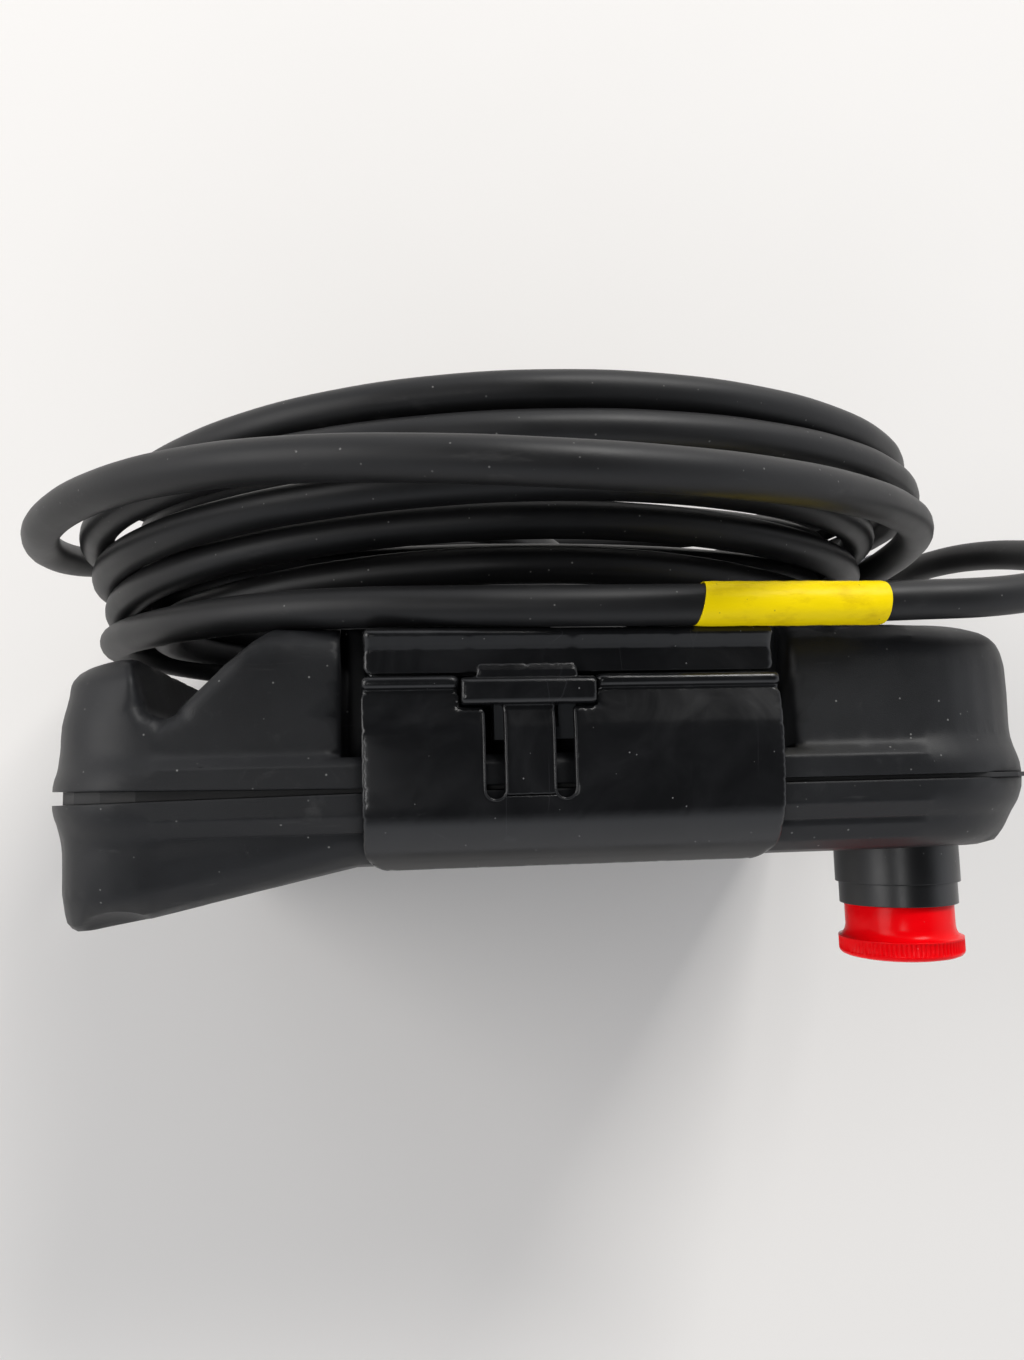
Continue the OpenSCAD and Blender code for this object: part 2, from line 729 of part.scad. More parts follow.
spring_r = 8.2;
spring_wire = 0.8;
spring_turns = 5;
knob_well = 14.5;     // depth of the spring's well in the knob
knob_bore = 15;       // depth of the plunger's socket in the knob

module estop_knob() {
    flare_at = neck_at + neck_h;
    band_at = flare_at + flare_h;
    dome_at = band_at + band_h;
    flare = [for (a = [0:15:90]) [neck_r + (stop_r - neck_r) * (1 - cos(a)), flare_at + flare_h * sin(a)]];
    dome = [[stop_r - 0.6, dome_at + 1], [stop_r - 2, dome_at + 1.9], [stop_r - 6, dome_at + dome_h - 0.5],
            [0, dome_at + dome_h]];
    color([0.80, 0.04, 0.04]) front_axis(stop_x, stop_z) difference() {
        rotate_extrude($fn = 72) polygon(concat([[0, knob_back], [neck_r, knob_back]], flare,
            [[stop_r, dome_at]], dome));
        translate([0, 0, knob_back - cut]) cylinder(r = plunger_r + fit, h = knob_bore + cut);
        translate([0, 0, knob_back - cut]) difference() {
            cylinder(r = spring_r + spring_wire + 0.8, h = knob_well + cut);
            translate([0, 0, -cut]) cylinder(r = plunger_r + 1.2, h = knob_well + 3 * cut);
        }
    }
}

module estop_plunger() {
    color(metal_color) front_axis(stop_x, stop_z)
        translate([0, 0, -3]) cylinder(r = plunger_r, h = knob_back + knob_bore - snug + 3);
}

module estop_nut() {
    color(metal_color) front_axis(stop_x, stop_z) translate([0, 0, front_d - wall - 6 - snug]) difference() {
        cylinder(r = barrel_r + 5, h = 6, $fn = 6);
        translate([0, 0, -cut]) cylinder(r = barrel_r + snug, h = 6 + 2 * cut);
    }
}

module estop_contact_block() {
    color([0.20, 0.20, 0.22]) difference() {
        block([stop_x - 14, stop_x + 14], [-block_face + snug, block_h - block_face], [stop_z - 17, stop_z + 17]);
        front_axis(stop_x, stop_z) translate([0, 0, -9]) cylinder(r = plunger_r + fit, h = 30);
    }
    color(metal_color) for (dx = [-9, 9], dz = [-11, 11])
        rear_axis(stop_x + dx, stop_z + dz) translate([0, 0, block_h - block_face]) cylinder(r = 2.4, h = 1.5);
}

function helix(turns, r, pitch, steps) =
    [for (i = [0:turns * steps]) [r * cos(360 * i / steps), r * sin(360 * i / steps), pitch * i / steps]];

module estop_spring() {
    length = knob_well + knob_back - collar_floor - stop_travel - 2.2 * spring_wire;
    color(metal_color) front_axis(stop_x, stop_z) translate([0, 0, collar_floor + spring_wire + snug])
        tube(helix(spring_turns, spring_r, length / spring_turns, 14), spring_wire, 6, [0, 0, 1]);
}

// ---------- enabling switch ----------

paddle_at = 3.2;      // start of the paddle, from the channel's floor along the wall
pin_at = paddle_at + 2.6;
pin_in = paddle_out - paddle_t / 2;
nub_at = paddle_at + 11;
switch_face = paddle_out - paddle_t - 2.6;
switch_h = 8;
nub_r = 2.2;

module enable_paddle() {
    z0 = paddle_z - paddle_len / 2;
    r = 2.4;
    color(gloss_color) on_slope(paddle_at) difference() {
        union() {
            translate([0, 0, z0]) linear_extrude(paddle_len) polygon(concat(
                arc(paddle_t / 2, paddle_out - paddle_t / 2, paddle_t / 2, 90, 270, 8),
                arc(paddle_w - 1, paddle_out - paddle_t + 1, 1, 270, 360, 3),
                arc(paddle_w - r, paddle_out - r, r, 0, 90, 4)));
            for (i = [-3:3]) translate([paddle_w - 8, paddle_out - 0.6, paddle_z + i * 13 - 1.25])
                cube([6, 1.1, 2.5]);
        }
        translate([pin_at - paddle_at, pin_in, z0 - cut]) cylinder(r = hinge_r + fit, h = paddle_len + 2 * cut);
    }
}

module enable_pin() {
    color(metal_color) on_slope(pin_at) translate([0, pin_in, paddle_z - paddle_len / 2 - 5.8])
        cylinder(r = hinge_r, h = paddle_len + 11.6);
}

module enable_plunger() {
    color([0.85, 0.85, 0.82]) on_slope(nub_at)
        translate([0, switch_face - 4, paddle_z]) rotate([-90, 0, 0]) cylinder(r = nub_r, h = 6.1);
}

module enable_switch() {
    color([0.20, 0.20, 0.22]) on_slope(nub_at) difference() {
        translate([-7, switch_face - switch_h, paddle_z - 20]) cube([14, switch_h, 40]);
        translate([0, switch_face - 7, paddle_z]) rotate([-90, 0, 0]) cylinder(r = nub_r + fit, h = 8);
    }
}

// Steel bracket that carries the switch on the inside of the channel's wall
bracket_l = 132;
bracket_w = 14;
bracket_t = 1.2;

module switch_bracket() {
    back = switch_face - switch_h - snug;
    color(metal_color) on_slope(nub_at) {
        translate([-bracket_w / 2, back - bracket_t, paddle_z - bracket_l / 2])
            cube([bracket_w, bracket_t, bracket_l]);
        for (end = [-1, 1]) translate([-bracket_w / 2, back, paddle_z + end * (bracket_l - bracket_t) / 2 - bracket_t / 2])
            cube([bracket_w, -wall - snug - back, bracket_t]);
    }
}

// ---------- top cover ----------

cover_xs = [cover_x - cover_w / 2, cover_x + cover_w / 2];
cover_rear = 30.2;
bead_w = 4.6;
root_d = -2.4;        // where the tongue joins the cover
bar_d0 = 22;          // front of the latch bar
bar_gap = 0.5;

// The cover's outer line as [depth, height over the top edge], from rear to front
cover_line = [[cover_rear - bead_w, 1.7], [15.6, 3.9], [0.2, 3.3], [-7.7, 2.6], [-13, -0.6],
              [-19.2, -6.4], [-front_d - 0.9, -11]];

function raised(line, g) = [for (p = line) [p[0], top + p[1] - g]];
function reversed(list) = [for (i = [len(list) - 1:-1:0]) list[i]];

module cover_skin(x0, x1) {
    profile(concat(raised(cover_line, 0), [[-front_d + 0.9, top - 11.4]],
        reversed([for (p = cover_line) if (p[0] > -front_d) [p[0] + (p[0] < -8 ? 1.7 : 0), top + p[1] - cover_t + (p[0] < -8 ? 0.6 : 0)]])),
        x0, x1);
}

module cover_bead(x0, x1) {
    profile(concat([[cover_rear - bead_w - 0.01, top + 1.7 - cover_t], [cover_rear, top + 1.7 - cover_t]],
        arc(cover_rear - 1.9, top + 1.6, 1.9, 0, 180, 8), [[cover_rear - bead_w - 0.01, top + 1.7]]), x0, x1);
}

module top_cover() {
    slots = [tongue_x - tongue_w / 2 - slot_w, tongue_x + tongue_w / 2 + slot_w];
    bar = [tongue_x - bar_w / 2 - bar_gap, tongue_x + bar_w / 2 + bar_gap];
    color(gloss_color) difference() {
        union() {
            cover_skin(cover_xs[0], cover_xs[1]);
            cover_bead(cover_xs[0], cover_xs[1]);
            for (x = [cover_xs[0] + 8, cover_xs[1] - 12])
                block([x, x + 4], [bay_d0 + 1, cover_rear - 1], [bay_z + 0.3, top]);
        }
        for (x = [slots[0], slots[1] - slot_w])
            translate([x + slot_w / 2, seam_y + root_d + slot_w / 2 - 0.6, top - 6]) cylinder(r = slot_w / 2, h = 12);
        for (x = [slots[0], slots[1] - slot_w])
            block([x, x + slot_w], [root_d + slot_w / 2 - 0.6, cover_rear + cut], [top - 6, top + 6]);
        block([slots[0] + slot_w / 2, slots[1] - slot_w / 2], [root_d, cover_rear + cut], [top - 6, top + 6]);
        block(bar, [bar_d0 - bar_gap, cover_rear + cut], [top - 6, top + 6]);
        for (x = [cover_xs[0], cover_xs[1]]) cover_corner(x, x < 0 ? 1 : -1);
    }
}

// Rounds one lower front corner of the cover
module cover_corner(x, side) {
    r = 7;
    translate([x + side * r, seam_y - front_d - 0.9 + r, top - 14]) difference() {
        translate([side * r * -0.5 - side * cut / 2, -r / 2 - cut / 2, 9])
            cube([r + cut, r + cut, 18], center = true);
        cylinder(r = r, h = 40, center = true);
    }
}

module cover_latch() {
    x0 = tongue_x - tongue_w / 2;
    bar = [tongue_x - bar_w / 2, tongue_x + bar_w / 2];
    color(gloss_color) {
        profile([[root_d + 0.3, top + 3.1], [15.6, top + 3.7], [bar_d0 + 1, top + 2.1],
                 [bar_d0 + 1, top + 0.2], [15.6, top + 1.7], [root_d + 0.3, top + 1]], x0, x0 + tongue_w);
        profile(concat(arc(bar_d0 + 2.2, top + 3.3, 2.2, 90, 180, 5), [[bar_d0, top + 0.4], [29.4, top + 0.4]],
            arc(27.3, top + 3.5, 2.1, 0, 90, 5)), bar[0], bar[1]);
        profile([[29, top + 2.6], [29, top + 4.4], [31, top + 4.6], [33, top + 3.9], [33, top + 2.6]],
                bar[0] + 4.2, bar[1] - 5);
    }
}

rail_d = [30.8, 43];
rail_screw_x = [cover_xs[0] + 12, cover_xs[1] - 14];
rail_screw_d = 36;
rail_screw_r = 1.05;  // screws up through the bay's floor into the rail

module catch_rail() {
    z = top + 0.3;
    color(gloss_color) difference() {
        profile(concat([[rail_d[0], z], [rail_d[0], z + 1.6], [37, z + 1.1], [38.3, z + 1.8]],
            arc(rail_d[1] - 2.2, z + 1, 2.2, 90, 0, 5),
            [[rail_d[1], bay_z + snug], [rail_d[0] + 0.6, bay_z + snug], [rail_d[0] + 0.6, bay_z + 2.4],
             [rail_d[1] - 2.4, bay_z + 2.4], [rail_d[1] - 2.4, z]]), cover_xs[0] + 0.4, cover_xs[1] - 1.2);
        for (x = rail_screw_x) translate([x, seam_y + rail_screw_d, bay_z - cut])
            cylinder(r = rail_screw_r + 0.05, h = cut + 2);
    }
}

module rail_screws() {
    color(metal_color) for (x = rail_screw_x) translate([x, seam_y + rail_screw_d, bay_z - wall - snug]) {
        translate([0, 0, -1.6]) cylinder(r = 2.3, h = 1.6);
        cylinder(r = rail_screw_r, h = wall + snug + 1.9);
    }
}

module service_port() {
    color([0.22, 0.22, 0.24]) difference() {
        block([-24, 20], [13, 27], [bay_z + snug, bay_z + 9]);
        for (x = [-20, -1]) block([x, x + 14], [16.5, 23.5], [bay_z + 2, bay_z + 9 + cut]);
    }
    color(metal_color) for (x = [-20, -1]) block([x + 1, x + 13], [19, 21], [bay_z + 1.9, bay_z + 7.5]);
}

// ---------- cable ----------

coil_d = [58.6, 129];   // depth range of the standing coil
coil_x = -18;
coil_r = 146;
coil_hole = 84;
coil_stretch = 19;    // half of the straight run at the coil's top and bottom

// Route of the lead from the gland to the coil, as [x, depth, z]
lead_route = [[20, 55.8, 137.7], [20, 63.5, 128.5], [20, 71.2, 119.3], [20, 79, 110], [20, 86, 101.6],
              [18.8, 93.2, 93.2], [15.4, 100, 85], [9.8, 106, 77.2], [2, 111, 70],
              [-7.6, 114.9, 63.8], [-18.8, 117.6, 58.8], [-31.8, 119.4, 54.8]];

// Route of the cable's far end: up out of the coil, over the top edge and down to the plug
tail_route = [[-157, 63, 86], [-156, 58.5, 108], [-151, 54.5, 136], [-141, 52.5, 162], [-127, 51.8, 184],
              [-109, 51.8, 204], [-88, 51.8, 219], [-64, 50.8, 230], [-38, 49.6, 236.5], [-10, 49.4, 239],
              [18, 49.4, 239], [46, 49.4, 239], [74, 49.4, 239], [96, 49.4, 239], [120, 50.6, 237.5],
              [143, 53.8, 231], [163, 59, 218], [178, 66, 199], [187, 74.5, 175], [188.5, 82, 150],
              [185, 87.5, 127], [180.5, 90.4, 107], [178, 91, 88], [178, 91, 70]];
label_x = [33, 85.5];
plug_at = [178, 91];
plug_r = 15;
nose_r = 13;
nose_h = 14;
ring_seat = nose_r + 0.2;
ring_h = 13;
ring_r = 17.5;
shell_h = 32;
clamp_h = 18;

function unit(v) = v / norm(v);
function lifted(route) = [for (p = route) [p[0], seam_y + p[1], p[2]]];
function heading(p, i) = unit(p[min(i + 1, len(p) - 1)] - p[max(i - 1, 0)]);

// A round tube of one radius along a row of points; ref is never parallel to the route
module tube(path, r, sides, ref) {
    n = len(path);
    points = [for (i = [0:n - 1]) let(t = heading(path, i), u = unit(cross(t, ref)), v = cross(t, u))
        for (k = [0:sides - 1]) path[i] + r * (cos(360 * k / sides) * u + sin(360 * k / sides) * v)];
    walls = [for (i = [0:n - 2], k = [0:sides - 1]) let(a = i * sides, b = a + sides, m = (k + 1) % sides)
        [a + k, a + m, b + m, b + k]];
    polyhedron(points, concat([[for (k = [sides - 1:-1:0]) k]], walls,
        [[for (k = [0:sides - 1]) (n - 1) * sides + k]]));
}

module cord_lead() {
    color(rubber_color) tube(lifted(lead_route), cord_r, 12, [1, 0, 0.2]);
}

module cord_tail() {
    color(rubber_color) tube(lifted(tail_route), cord_r, 12, [0, 1, 0]);
}

module stadium(r, stretch) {
    for (s = [-1, 1]) translate([s * stretch, 0]) circle(r = r, $fn = 96);
    square([2 * stretch, 2 * r], center = true);
}

module cord_coil() {
    color(rubber_color) translate([coil_x, seam_y + coil_d[1], coil_r]) rotate([90, 0, 0])
        linear_extrude(coil_d[1] - coil_d[0]) difference() {
            stadium(coil_r, coil_stretch);
            stadium(coil_hole, coil_stretch);
        }
}

module cord_label() {
    color([0.98, 0.88, 0.05]) translate([label_x[0], seam_y + tail_route[11][1], tail_route[11][2]]) rotate([0, 90, 0]) difference() {
        cylinder(r = cord_r + 0.4, h = label_x[1] - label_x[0]);
        translate([0, 0, -cut]) cylinder(r = cord_r + snug, h = label_x[1] - label_x[0] + 2 * cut);
    }
}

module at_plug(z) {
    translate([plug_at[0], seam_y + plug_at[1], z]) children();
}

module plug_shell() {
    color(metal_color) difference() {
        union() {
            at_plug(0) cylinder(r = nose_r, h = nose_h);
            at_plug(nose_h) cylinder(r = ring_seat, h = ring_h + 1);
            at_plug(nose_h + ring_h) cylinder(r = plug_r, h = shell_h);
        }
        at_plug(-cut) cylinder(r = nose_r - 1.5, h = nose_h + ring_h + cut);
        at_plug(nose_h) cylinder(r = cord_r + 1.5, h = ring_h + shell_h + cut);
    }
}

module plug_ring() {
    color(gloss_color) difference() {
        at_plug(nose_h) cylinder(r = ring_r, h = ring_h - 0.3);
        at_plug(nose_h - cut) cylinder(r = ring_seat + fit, h = ring_h + 2 * cut);
        for (a = [0:30:330]) at_plug(nose_h - cut) rotate(a) translate([ring_r + 1.2, 0, 0])
            cylinder(r = 2.4, h = ring_h + 2 * cut, $fn = 24);
    }
}

module plug_insert() {
    color([0.15, 0.15, 0.16]) at_plug(3) cylinder(r = nose_r - 1.5 - snug, h = nose_h + ring_h - 4);
    color([0.85, 0.70, 0.30]) for (a = [0:30:330]) at_plug(0.8) rotate(a) translate([7.5, 0, 0])
        cylinder(r = 0.8, h = 2.3, $fn = 16);
}

module plug_clamp() {
    color(rubber_color) at_plug(nose_h + ring_h + shell_h + snug) difference() {
        cylinder(r1 = plug_r - 2, r2 = cord_r + 1.5, h = clamp_h);
        translate([0, 0, -cut]) cylinder(r = cord_r + snug, h = clamp_h + 2 * cut);
    }
}

rear_shell();
front_shell();
shell_gasket();
case_screws();
display_window();
display_module();
display_screws();
keypad_mat();
keypad_board();
keypad_screws();
main_board();
board_screws();
for (i = [0:4]) key(i);
for (i = [0:11]) key(i + 5);
estop_collar();
estop_bezel();
estop_knob();
estop_plunger();
estop_spring();
estop_nut();
estop_contact_block();
enable_paddle();
enable_pin();
enable_plunger();
enable_switch();
switch_bracket();
top_cover();
cover_latch();
catch_rail();
rail_screws();
service_port();
gland_body();
gland_nut();
strain_relief();
cord_lead();
cord_coil();
cord_tail();
cord_label();
plug_shell();
plug_ring();
plug_insert();
plug_clamp();
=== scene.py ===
# Looks of the teach pendant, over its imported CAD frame. Lengths are in metres. Routes, outlines and
# boxes are in millimetres: x, depth behind the parting plane of the shells, and height.
import math

import bmesh
import bpy
import numpy as np
from mathutils import Matrix, Vector, noise


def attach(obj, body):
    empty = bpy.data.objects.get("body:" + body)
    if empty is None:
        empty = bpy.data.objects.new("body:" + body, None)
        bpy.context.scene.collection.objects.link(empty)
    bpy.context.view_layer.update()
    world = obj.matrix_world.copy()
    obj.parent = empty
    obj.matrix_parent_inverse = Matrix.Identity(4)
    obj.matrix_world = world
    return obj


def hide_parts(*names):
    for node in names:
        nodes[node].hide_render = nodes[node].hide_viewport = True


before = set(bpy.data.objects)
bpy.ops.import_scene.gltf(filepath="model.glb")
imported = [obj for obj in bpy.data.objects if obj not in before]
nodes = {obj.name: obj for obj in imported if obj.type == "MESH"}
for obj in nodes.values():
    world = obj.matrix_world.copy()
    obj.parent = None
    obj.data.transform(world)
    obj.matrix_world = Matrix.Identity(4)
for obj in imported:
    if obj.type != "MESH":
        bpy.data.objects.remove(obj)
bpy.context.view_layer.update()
SEAM = -0.0043448            # y of the shells' parting plane


# ---------- camera ----------

CAMERA_AT = Vector((-0.050, -0.00434, 0.503))
CAMERA_RIGHT = Vector((0.9935, -0.0260, 0.1106))
CAMERA_DOWN = Vector((-0.0139, -0.9940, -0.1087))
CAMERA_FORWARD = Vector((0.1128, 0.1064, -0.9879))

camera = bpy.data.objects.new("camera", bpy.data.cameras.new("camera"))
bpy.context.scene.collection.objects.link(camera)
camera.data.lens = 26.47
camera.data.sensor_width = 36
camera.data.clip_start = 0.01
turned = Matrix((CAMERA_RIGHT, -CAMERA_DOWN, -CAMERA_FORWARD)).transposed()
camera.matrix_world = Matrix.Translation(CAMERA_AT) @ turned.to_4x4()
bpy.context.scene.camera = camera


# ---------- cable route ----------

def point(x, depth, z):
    """The point in metres of a place given in millimetres."""
    return Vector((x / 1000, SEAM + depth / 1000, z / 1000))


def to_mm(at):
    """x, depth and height in millimetres of an array of points in metres."""
    return at[:, 0] * 1000, (at[:, 1] - SEAM) * 1000, at[:, 2] * 1000


CABLE_D = 0.0115

# Straight out of the gland, then down the back into the bottom of the coil
LEAD = [
    (20, 55.8, 137.7), (20, 63.5, 128.5), (20, 71.2, 119.3), (20, 79, 110), (20, 86, 101.6),
    (18.8, 93.2, 93.2), (15.4, 100, 85), (9.8, 106, 77.2), (2, 111, 70), (-7.6, 114.9, 63.8),
    (-18.8, 117.6, 58.8), (-31.8, 119.4, 54.8), (-47.3, 120.4, 51.8), (-65.3, 120.9, 50.3),
    (-85, 120, 53), (-104, 118, 60.5), (-121, 115.5, 73), (-134.5, 113.5, 88.5),
    (-145, 112, 107), (-151.5, 111.2, 128),
]

# Each turn: its middle, its reach to the left and to the right, its lowest and highest point, how
# square its upper and lower halves are, eight depths from the bottom round by the left, and the
# shares of its way round between which it blends into the next. The last row is only blended into.
TURNS = [
    (-7, 144, 152, 3, 242, 2, 2.6, (111, 106, 98.5, 104.5, 110, 111, 111, 108.5), 0.8, 1),
    (-5, 158, 154, 3, 245, 2, 2.6, (99.4, 95, 88, 92.5, 97.5, 99.4, 99.4, 97), 0.8, 1),
    (-8, 152, 141, 3, 235, 2, 2.6, (87.8, 83, 76, 80.5, 86.5, 86.5, 88.5, 86.5), 0.8, 1),
    (-8, 149, 138, 3, 224, 2, 2.6, (76.2, 72, 64.5, 72, 78.5, 75.5, 76.2, 74), 0.8, 1),
    (-8, 134, 128, 3, 213, 2, 2.2, (65, 64.5, 58.5, 62.5, 67.5, 63.5, 63.5, 67), 0.6, 0.9),
    (-9, 133, 128, 17.5, 200, 2, 2.1, (72, 71.5, 70.5, 71, 70, 72, 75, 80), 0.75, 1),
    (-9, 134, 130, 17.5, 207, 2, 2.1, (83, 83, 82, 82, 81.5, 84, 88.5, 92), 0.75, 1),
    (-9, 135, 136, 17.5, 218, 2, 2.1, (94.5, 94.5, 93.6, 93.5, 93.5, 99, 107, 119.5), 0.84, 1),
    (-14, 163, 158, 3, 287, 1.7, 3.4, (122.6, 114, 84, 85.5, 72.5, 79, 84, 66.5), 0.75, 1),
    (-14, 150, 158, 3, 240, 2, 3.4, (53, 53, 53, 53, 53, 53, 53, 53), 0.75, 1),
]

# Out of the coil, up its left side, over the pendant's top edge and down to the plug
TAIL = [
    (-14, 53, 3), (-50, 53, 4), (-85, 53, 11), (-114, 54, 28), (-138, 55.5, 51), (-154, 57, 80),
    (-159, 57, 108), (-155, 54.5, 136), (-144, 52.5, 162), (-129, 51.8, 184), (-110, 51.8, 204),
    (-88, 51.8, 220), (-64, 50.8, 231), (-38, 48.5, 237), (-10, 48.4, 239), (18, 48.4, 239),
    (46, 48.9, 239), (74, 48.9, 239), (96, 48.9, 239), (120, 50.8, 237.5), (143, 54.6, 231),
    (163, 60.5, 218), (178, 67.5, 199), (187, 76, 175), (188.5, 83.5, 150), (185, 88.5, 127),
    (180.5, 90.6, 107), (178, 91, 88), (178, 91, 70),
]

TURN_STEPS = 28          # points on each turn
LEAD_STEPS = 8           # of those, the ones that the lead takes the place of on the first turn
EASE_ROUNDS = 3
EASE_SHARE = 0.25        # how far each round draws a point towards each neighbour
HELD_AT_START = 6        # points that easing leaves alone at each end
HELD_AT_END = 10
EASE_RUN_IN = 12         # points over which easing sets in


def between(a, b, share):
    """The value at that share of the way from a to b."""
    return a + (b - a) * share


def rounded_reach(value, squareness):
    """A circle's coordinate pushed outwards, for a loop with fuller corners."""
    return math.copysign(abs(value) ** (2 / squareness), value)


def station(i, f):
    """Point of turn i at the share f of its way round, from its bottom by the left."""
    middle, left, right, low, high, square_up, square_down, depths, start, end = TURNS[i]
    after = TURNS[i + 1]
    w = min(max((f - start) / (end - start), 0), 1)
    w = w * w * (3 - 2 * w)
    low = between(low, after[3], w)
    middle = between(middle, after[0], w)
    right = between(right, after[1], w)
    square_down = between(square_down, after[6], w)
    before = TURNS[i - 1][7][7] if i else depths[0]
    row = [before] + list(depths) + [after[7][0], after[7][1]]
    k = min(int(f * 8), 7)
    t = f * 8 - k
    p0, p1, p2, p3 = row[k:k + 4]
    depth = 0.5 * (2 * p1 + (p2 - p0) * t + (2 * p0 - 5 * p1 + 4 * p2 - p3) * t * t
                   + (3 * p1 - p0 - 3 * p2 + p3) * t ** 3)
    s = math.sin(2 * math.pi * f)
    c = math.cos(2 * math.pi * f)
    square = square_down if c > 0 else square_up
    reach = left if s > 0 else right
    x = middle - rounded_reach(s, square) * reach
    z = (low + high) / 2 - rounded_reach(c, square) * (high - low) / 2
    return x, depth, z


def cable_points():
    """The whole route in metres, eased so that no bend is sharp."""
    rows = list(LEAD)
    for i in range(len(TURNS) - 1):
        first = 0 if i else LEAD_STEPS
        rows += [station(i, k / TURN_STEPS) for k in range(first, TURN_STEPS)]
    rows += TAIL
    way = [point(*row) for row in rows]
    for _ in range(EASE_ROUNDS):
        eased = list(way)
        for k in range(HELD_AT_START, len(way) - HELD_AT_END):
            share = min((k - HELD_AT_START + 1) / EASE_RUN_IN, 1) * EASE_SHARE
            eased[k] = way[k] * (1 - 2 * share) + (way[k - 1] + way[k + 1]) * share
        way = eased
    return way


def add(name, data, body="housing"):
    """A new piece made from its data, riding on a body."""
    piece = bpy.data.objects.new(name, data)
    bpy.context.scene.collection.objects.link(piece)
    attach(piece, body)
    return piece


def cable_curve(way, radius):
    """A smooth round tube through points, as one open spline."""
    data = bpy.data.curves.new("cable", "CURVE")
    data.dimensions = "3D"
    # The radius is on the points, because a curve's bounding box grows by the points' radius
    data.bevel_depth = 1
    data.bevel_resolution = 8
    data.use_fill_caps = True
    data.resolution_u = 6
    data.twist_mode = "MINIMUM"
    spline = data.splines.new("BEZIER")
    spline.bezier_points.add(len(way) - 1)
    for spot, place in zip(spline.bezier_points, way):
        spot.co = place
        spot.radius = radius
        spot.handle_left_type = spot.handle_right_type = "AUTO"
    return data


WAY = cable_points()
cable = add("cable", cable_curve(WAY, CABLE_D / 2))
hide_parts("cord_lead", "cord_coil", "cord_tail")


# ---------- housing skins ----------

def ease(value, low, high):
    """From 0 at low to 1 at high, with no corners."""
    t = np.clip((value - low) / (high - low), 0, 1)
    return t * t * (3 - 2 * t)


SEAM_HELD = (2.6, 5.5)       # depths from the parting plane between which points start to move
POST_EDGE = 2.5              # how far round a post its hold fades
POST_DEPTH = (18, 24)        # depths between which a post's hold sets in
LINE_SHARES = (0, 0.25, 0.5, 0.75, 1)   # places along an edge where its freedom is tried
SPLIT_ROUNDS = 8
SAME_PLACE = 1e-6            # points this near each other are one
FLAT_ANGLE = 0.004           # faces that meet at less than this, in radians, are one
INSIDE = Vector((0, SEAM, 0.117))       # middle of the housing
REAR_FOLDS = (-134, -78)     # x between which the grip's inner faces can be seen
FRONT_FOLDS = (-150, -100)


def room(at, keep, posts, seam):
    """How freely each point may move: 0 in the boxes and posts that stay crisp, and at a seam."""
    x, d, z = to_mm(at)
    free = ease(np.abs(d), *SEAM_HELD) if seam else np.ones(len(at))
    for (x0, x1), (d0, d1), (z0, z1), fade in keep:
        gap = np.maximum.reduce([x0 - x, x - x1, d0 - d, d - d1, z0 - z, z - z1])
        free = np.minimum(free, ease(gap, 0, fade))
    for px, pz, radius in posts:
        off = ease(np.hypot(x - px, z - pz), radius, radius + POST_EDGE)
        free = np.minimum(free, np.maximum(off, 1 - ease(d, *POST_DEPTH)))
    return free


def thinned(mesh, ratio):
    """The same skin with that share of its triangles."""
    holder = bpy.data.objects.new("holder", mesh)
    bpy.context.scene.collection.objects.link(holder)
    fewer = holder.modifiers.new("fewer", "DECIMATE")
    fewer.ratio = ratio
    graph = bpy.context.evaluated_depsgraph_get()
    made = bpy.data.meshes.new_from_object(holder.evaluated_get(graph))
    bpy.data.objects.remove(holder)
    return made


def finish_mesh(mesh, sharp):
    """Smooth shading, with a crease wherever faces meet at more than that many degrees."""
    mesh.shade_smooth()
    mesh.set_sharp_from_angle(angle=math.radians(sharp))
    return mesh


def mark_hidden(bm, folds):
    """Marks the faces that look inward: the cavity's, which nobody sees, except in the folds."""
    bm.normal_update()
    for face in bm.faces:
        spot = face.calc_center_median()
        inward = face.normal.dot(spot - INSIDE) < 0
        face.material_index = int(inward and not folds[0] < spot.x * 1000 < folds[1])


def refine(bm, longest, freedom):
    """Cuts the seen edges until none that may move is longer than that."""
    for _ in range(SPLIT_ROUNDS):
        bm.verts.index_update()
        edges = [e for e in bm.edges if not all(f.material_index for f in e.link_faces)]
        at = np.array([v.co for v in bm.verts])
        ends = np.array([(e.verts[0].index, e.verts[1].index) for e in edges])
        a, b = at[ends[:, 0]], at[ends[:, 1]]
        free = np.maximum.reduce([freedom(a + (b - a) * t) for t in LINE_SHARES])
        long = (np.linalg.norm(b - a, axis=1) > longest) & (free > 0)
        if not long.any():
            break
        bmesh.ops.subdivide_edges(bm, edges=[e for e, cut in zip(edges, long) if cut], cuts=1)
        bmesh.ops.triangulate(bm, faces=[f for f in bm.faces if len(f.verts) > 3])


def relax(at, ends, free, rounds):
    """Draws each point towards the middle of its neighbours, as far as it is free to move."""
    both = np.concatenate([ends, ends[:, ::-1]])
    count = np.maximum(np.bincount(both[:, 0], minlength=len(at)), 1)
    for _ in range(rounds):
        mean = np.stack([np.bincount(both[:, 0], at[both[:, 1], k], minlength=len(at)) / count
                         for k in range(3)], axis=1)
        at = at + (mean - at) * (0.5 * free)[:, None]
    return at


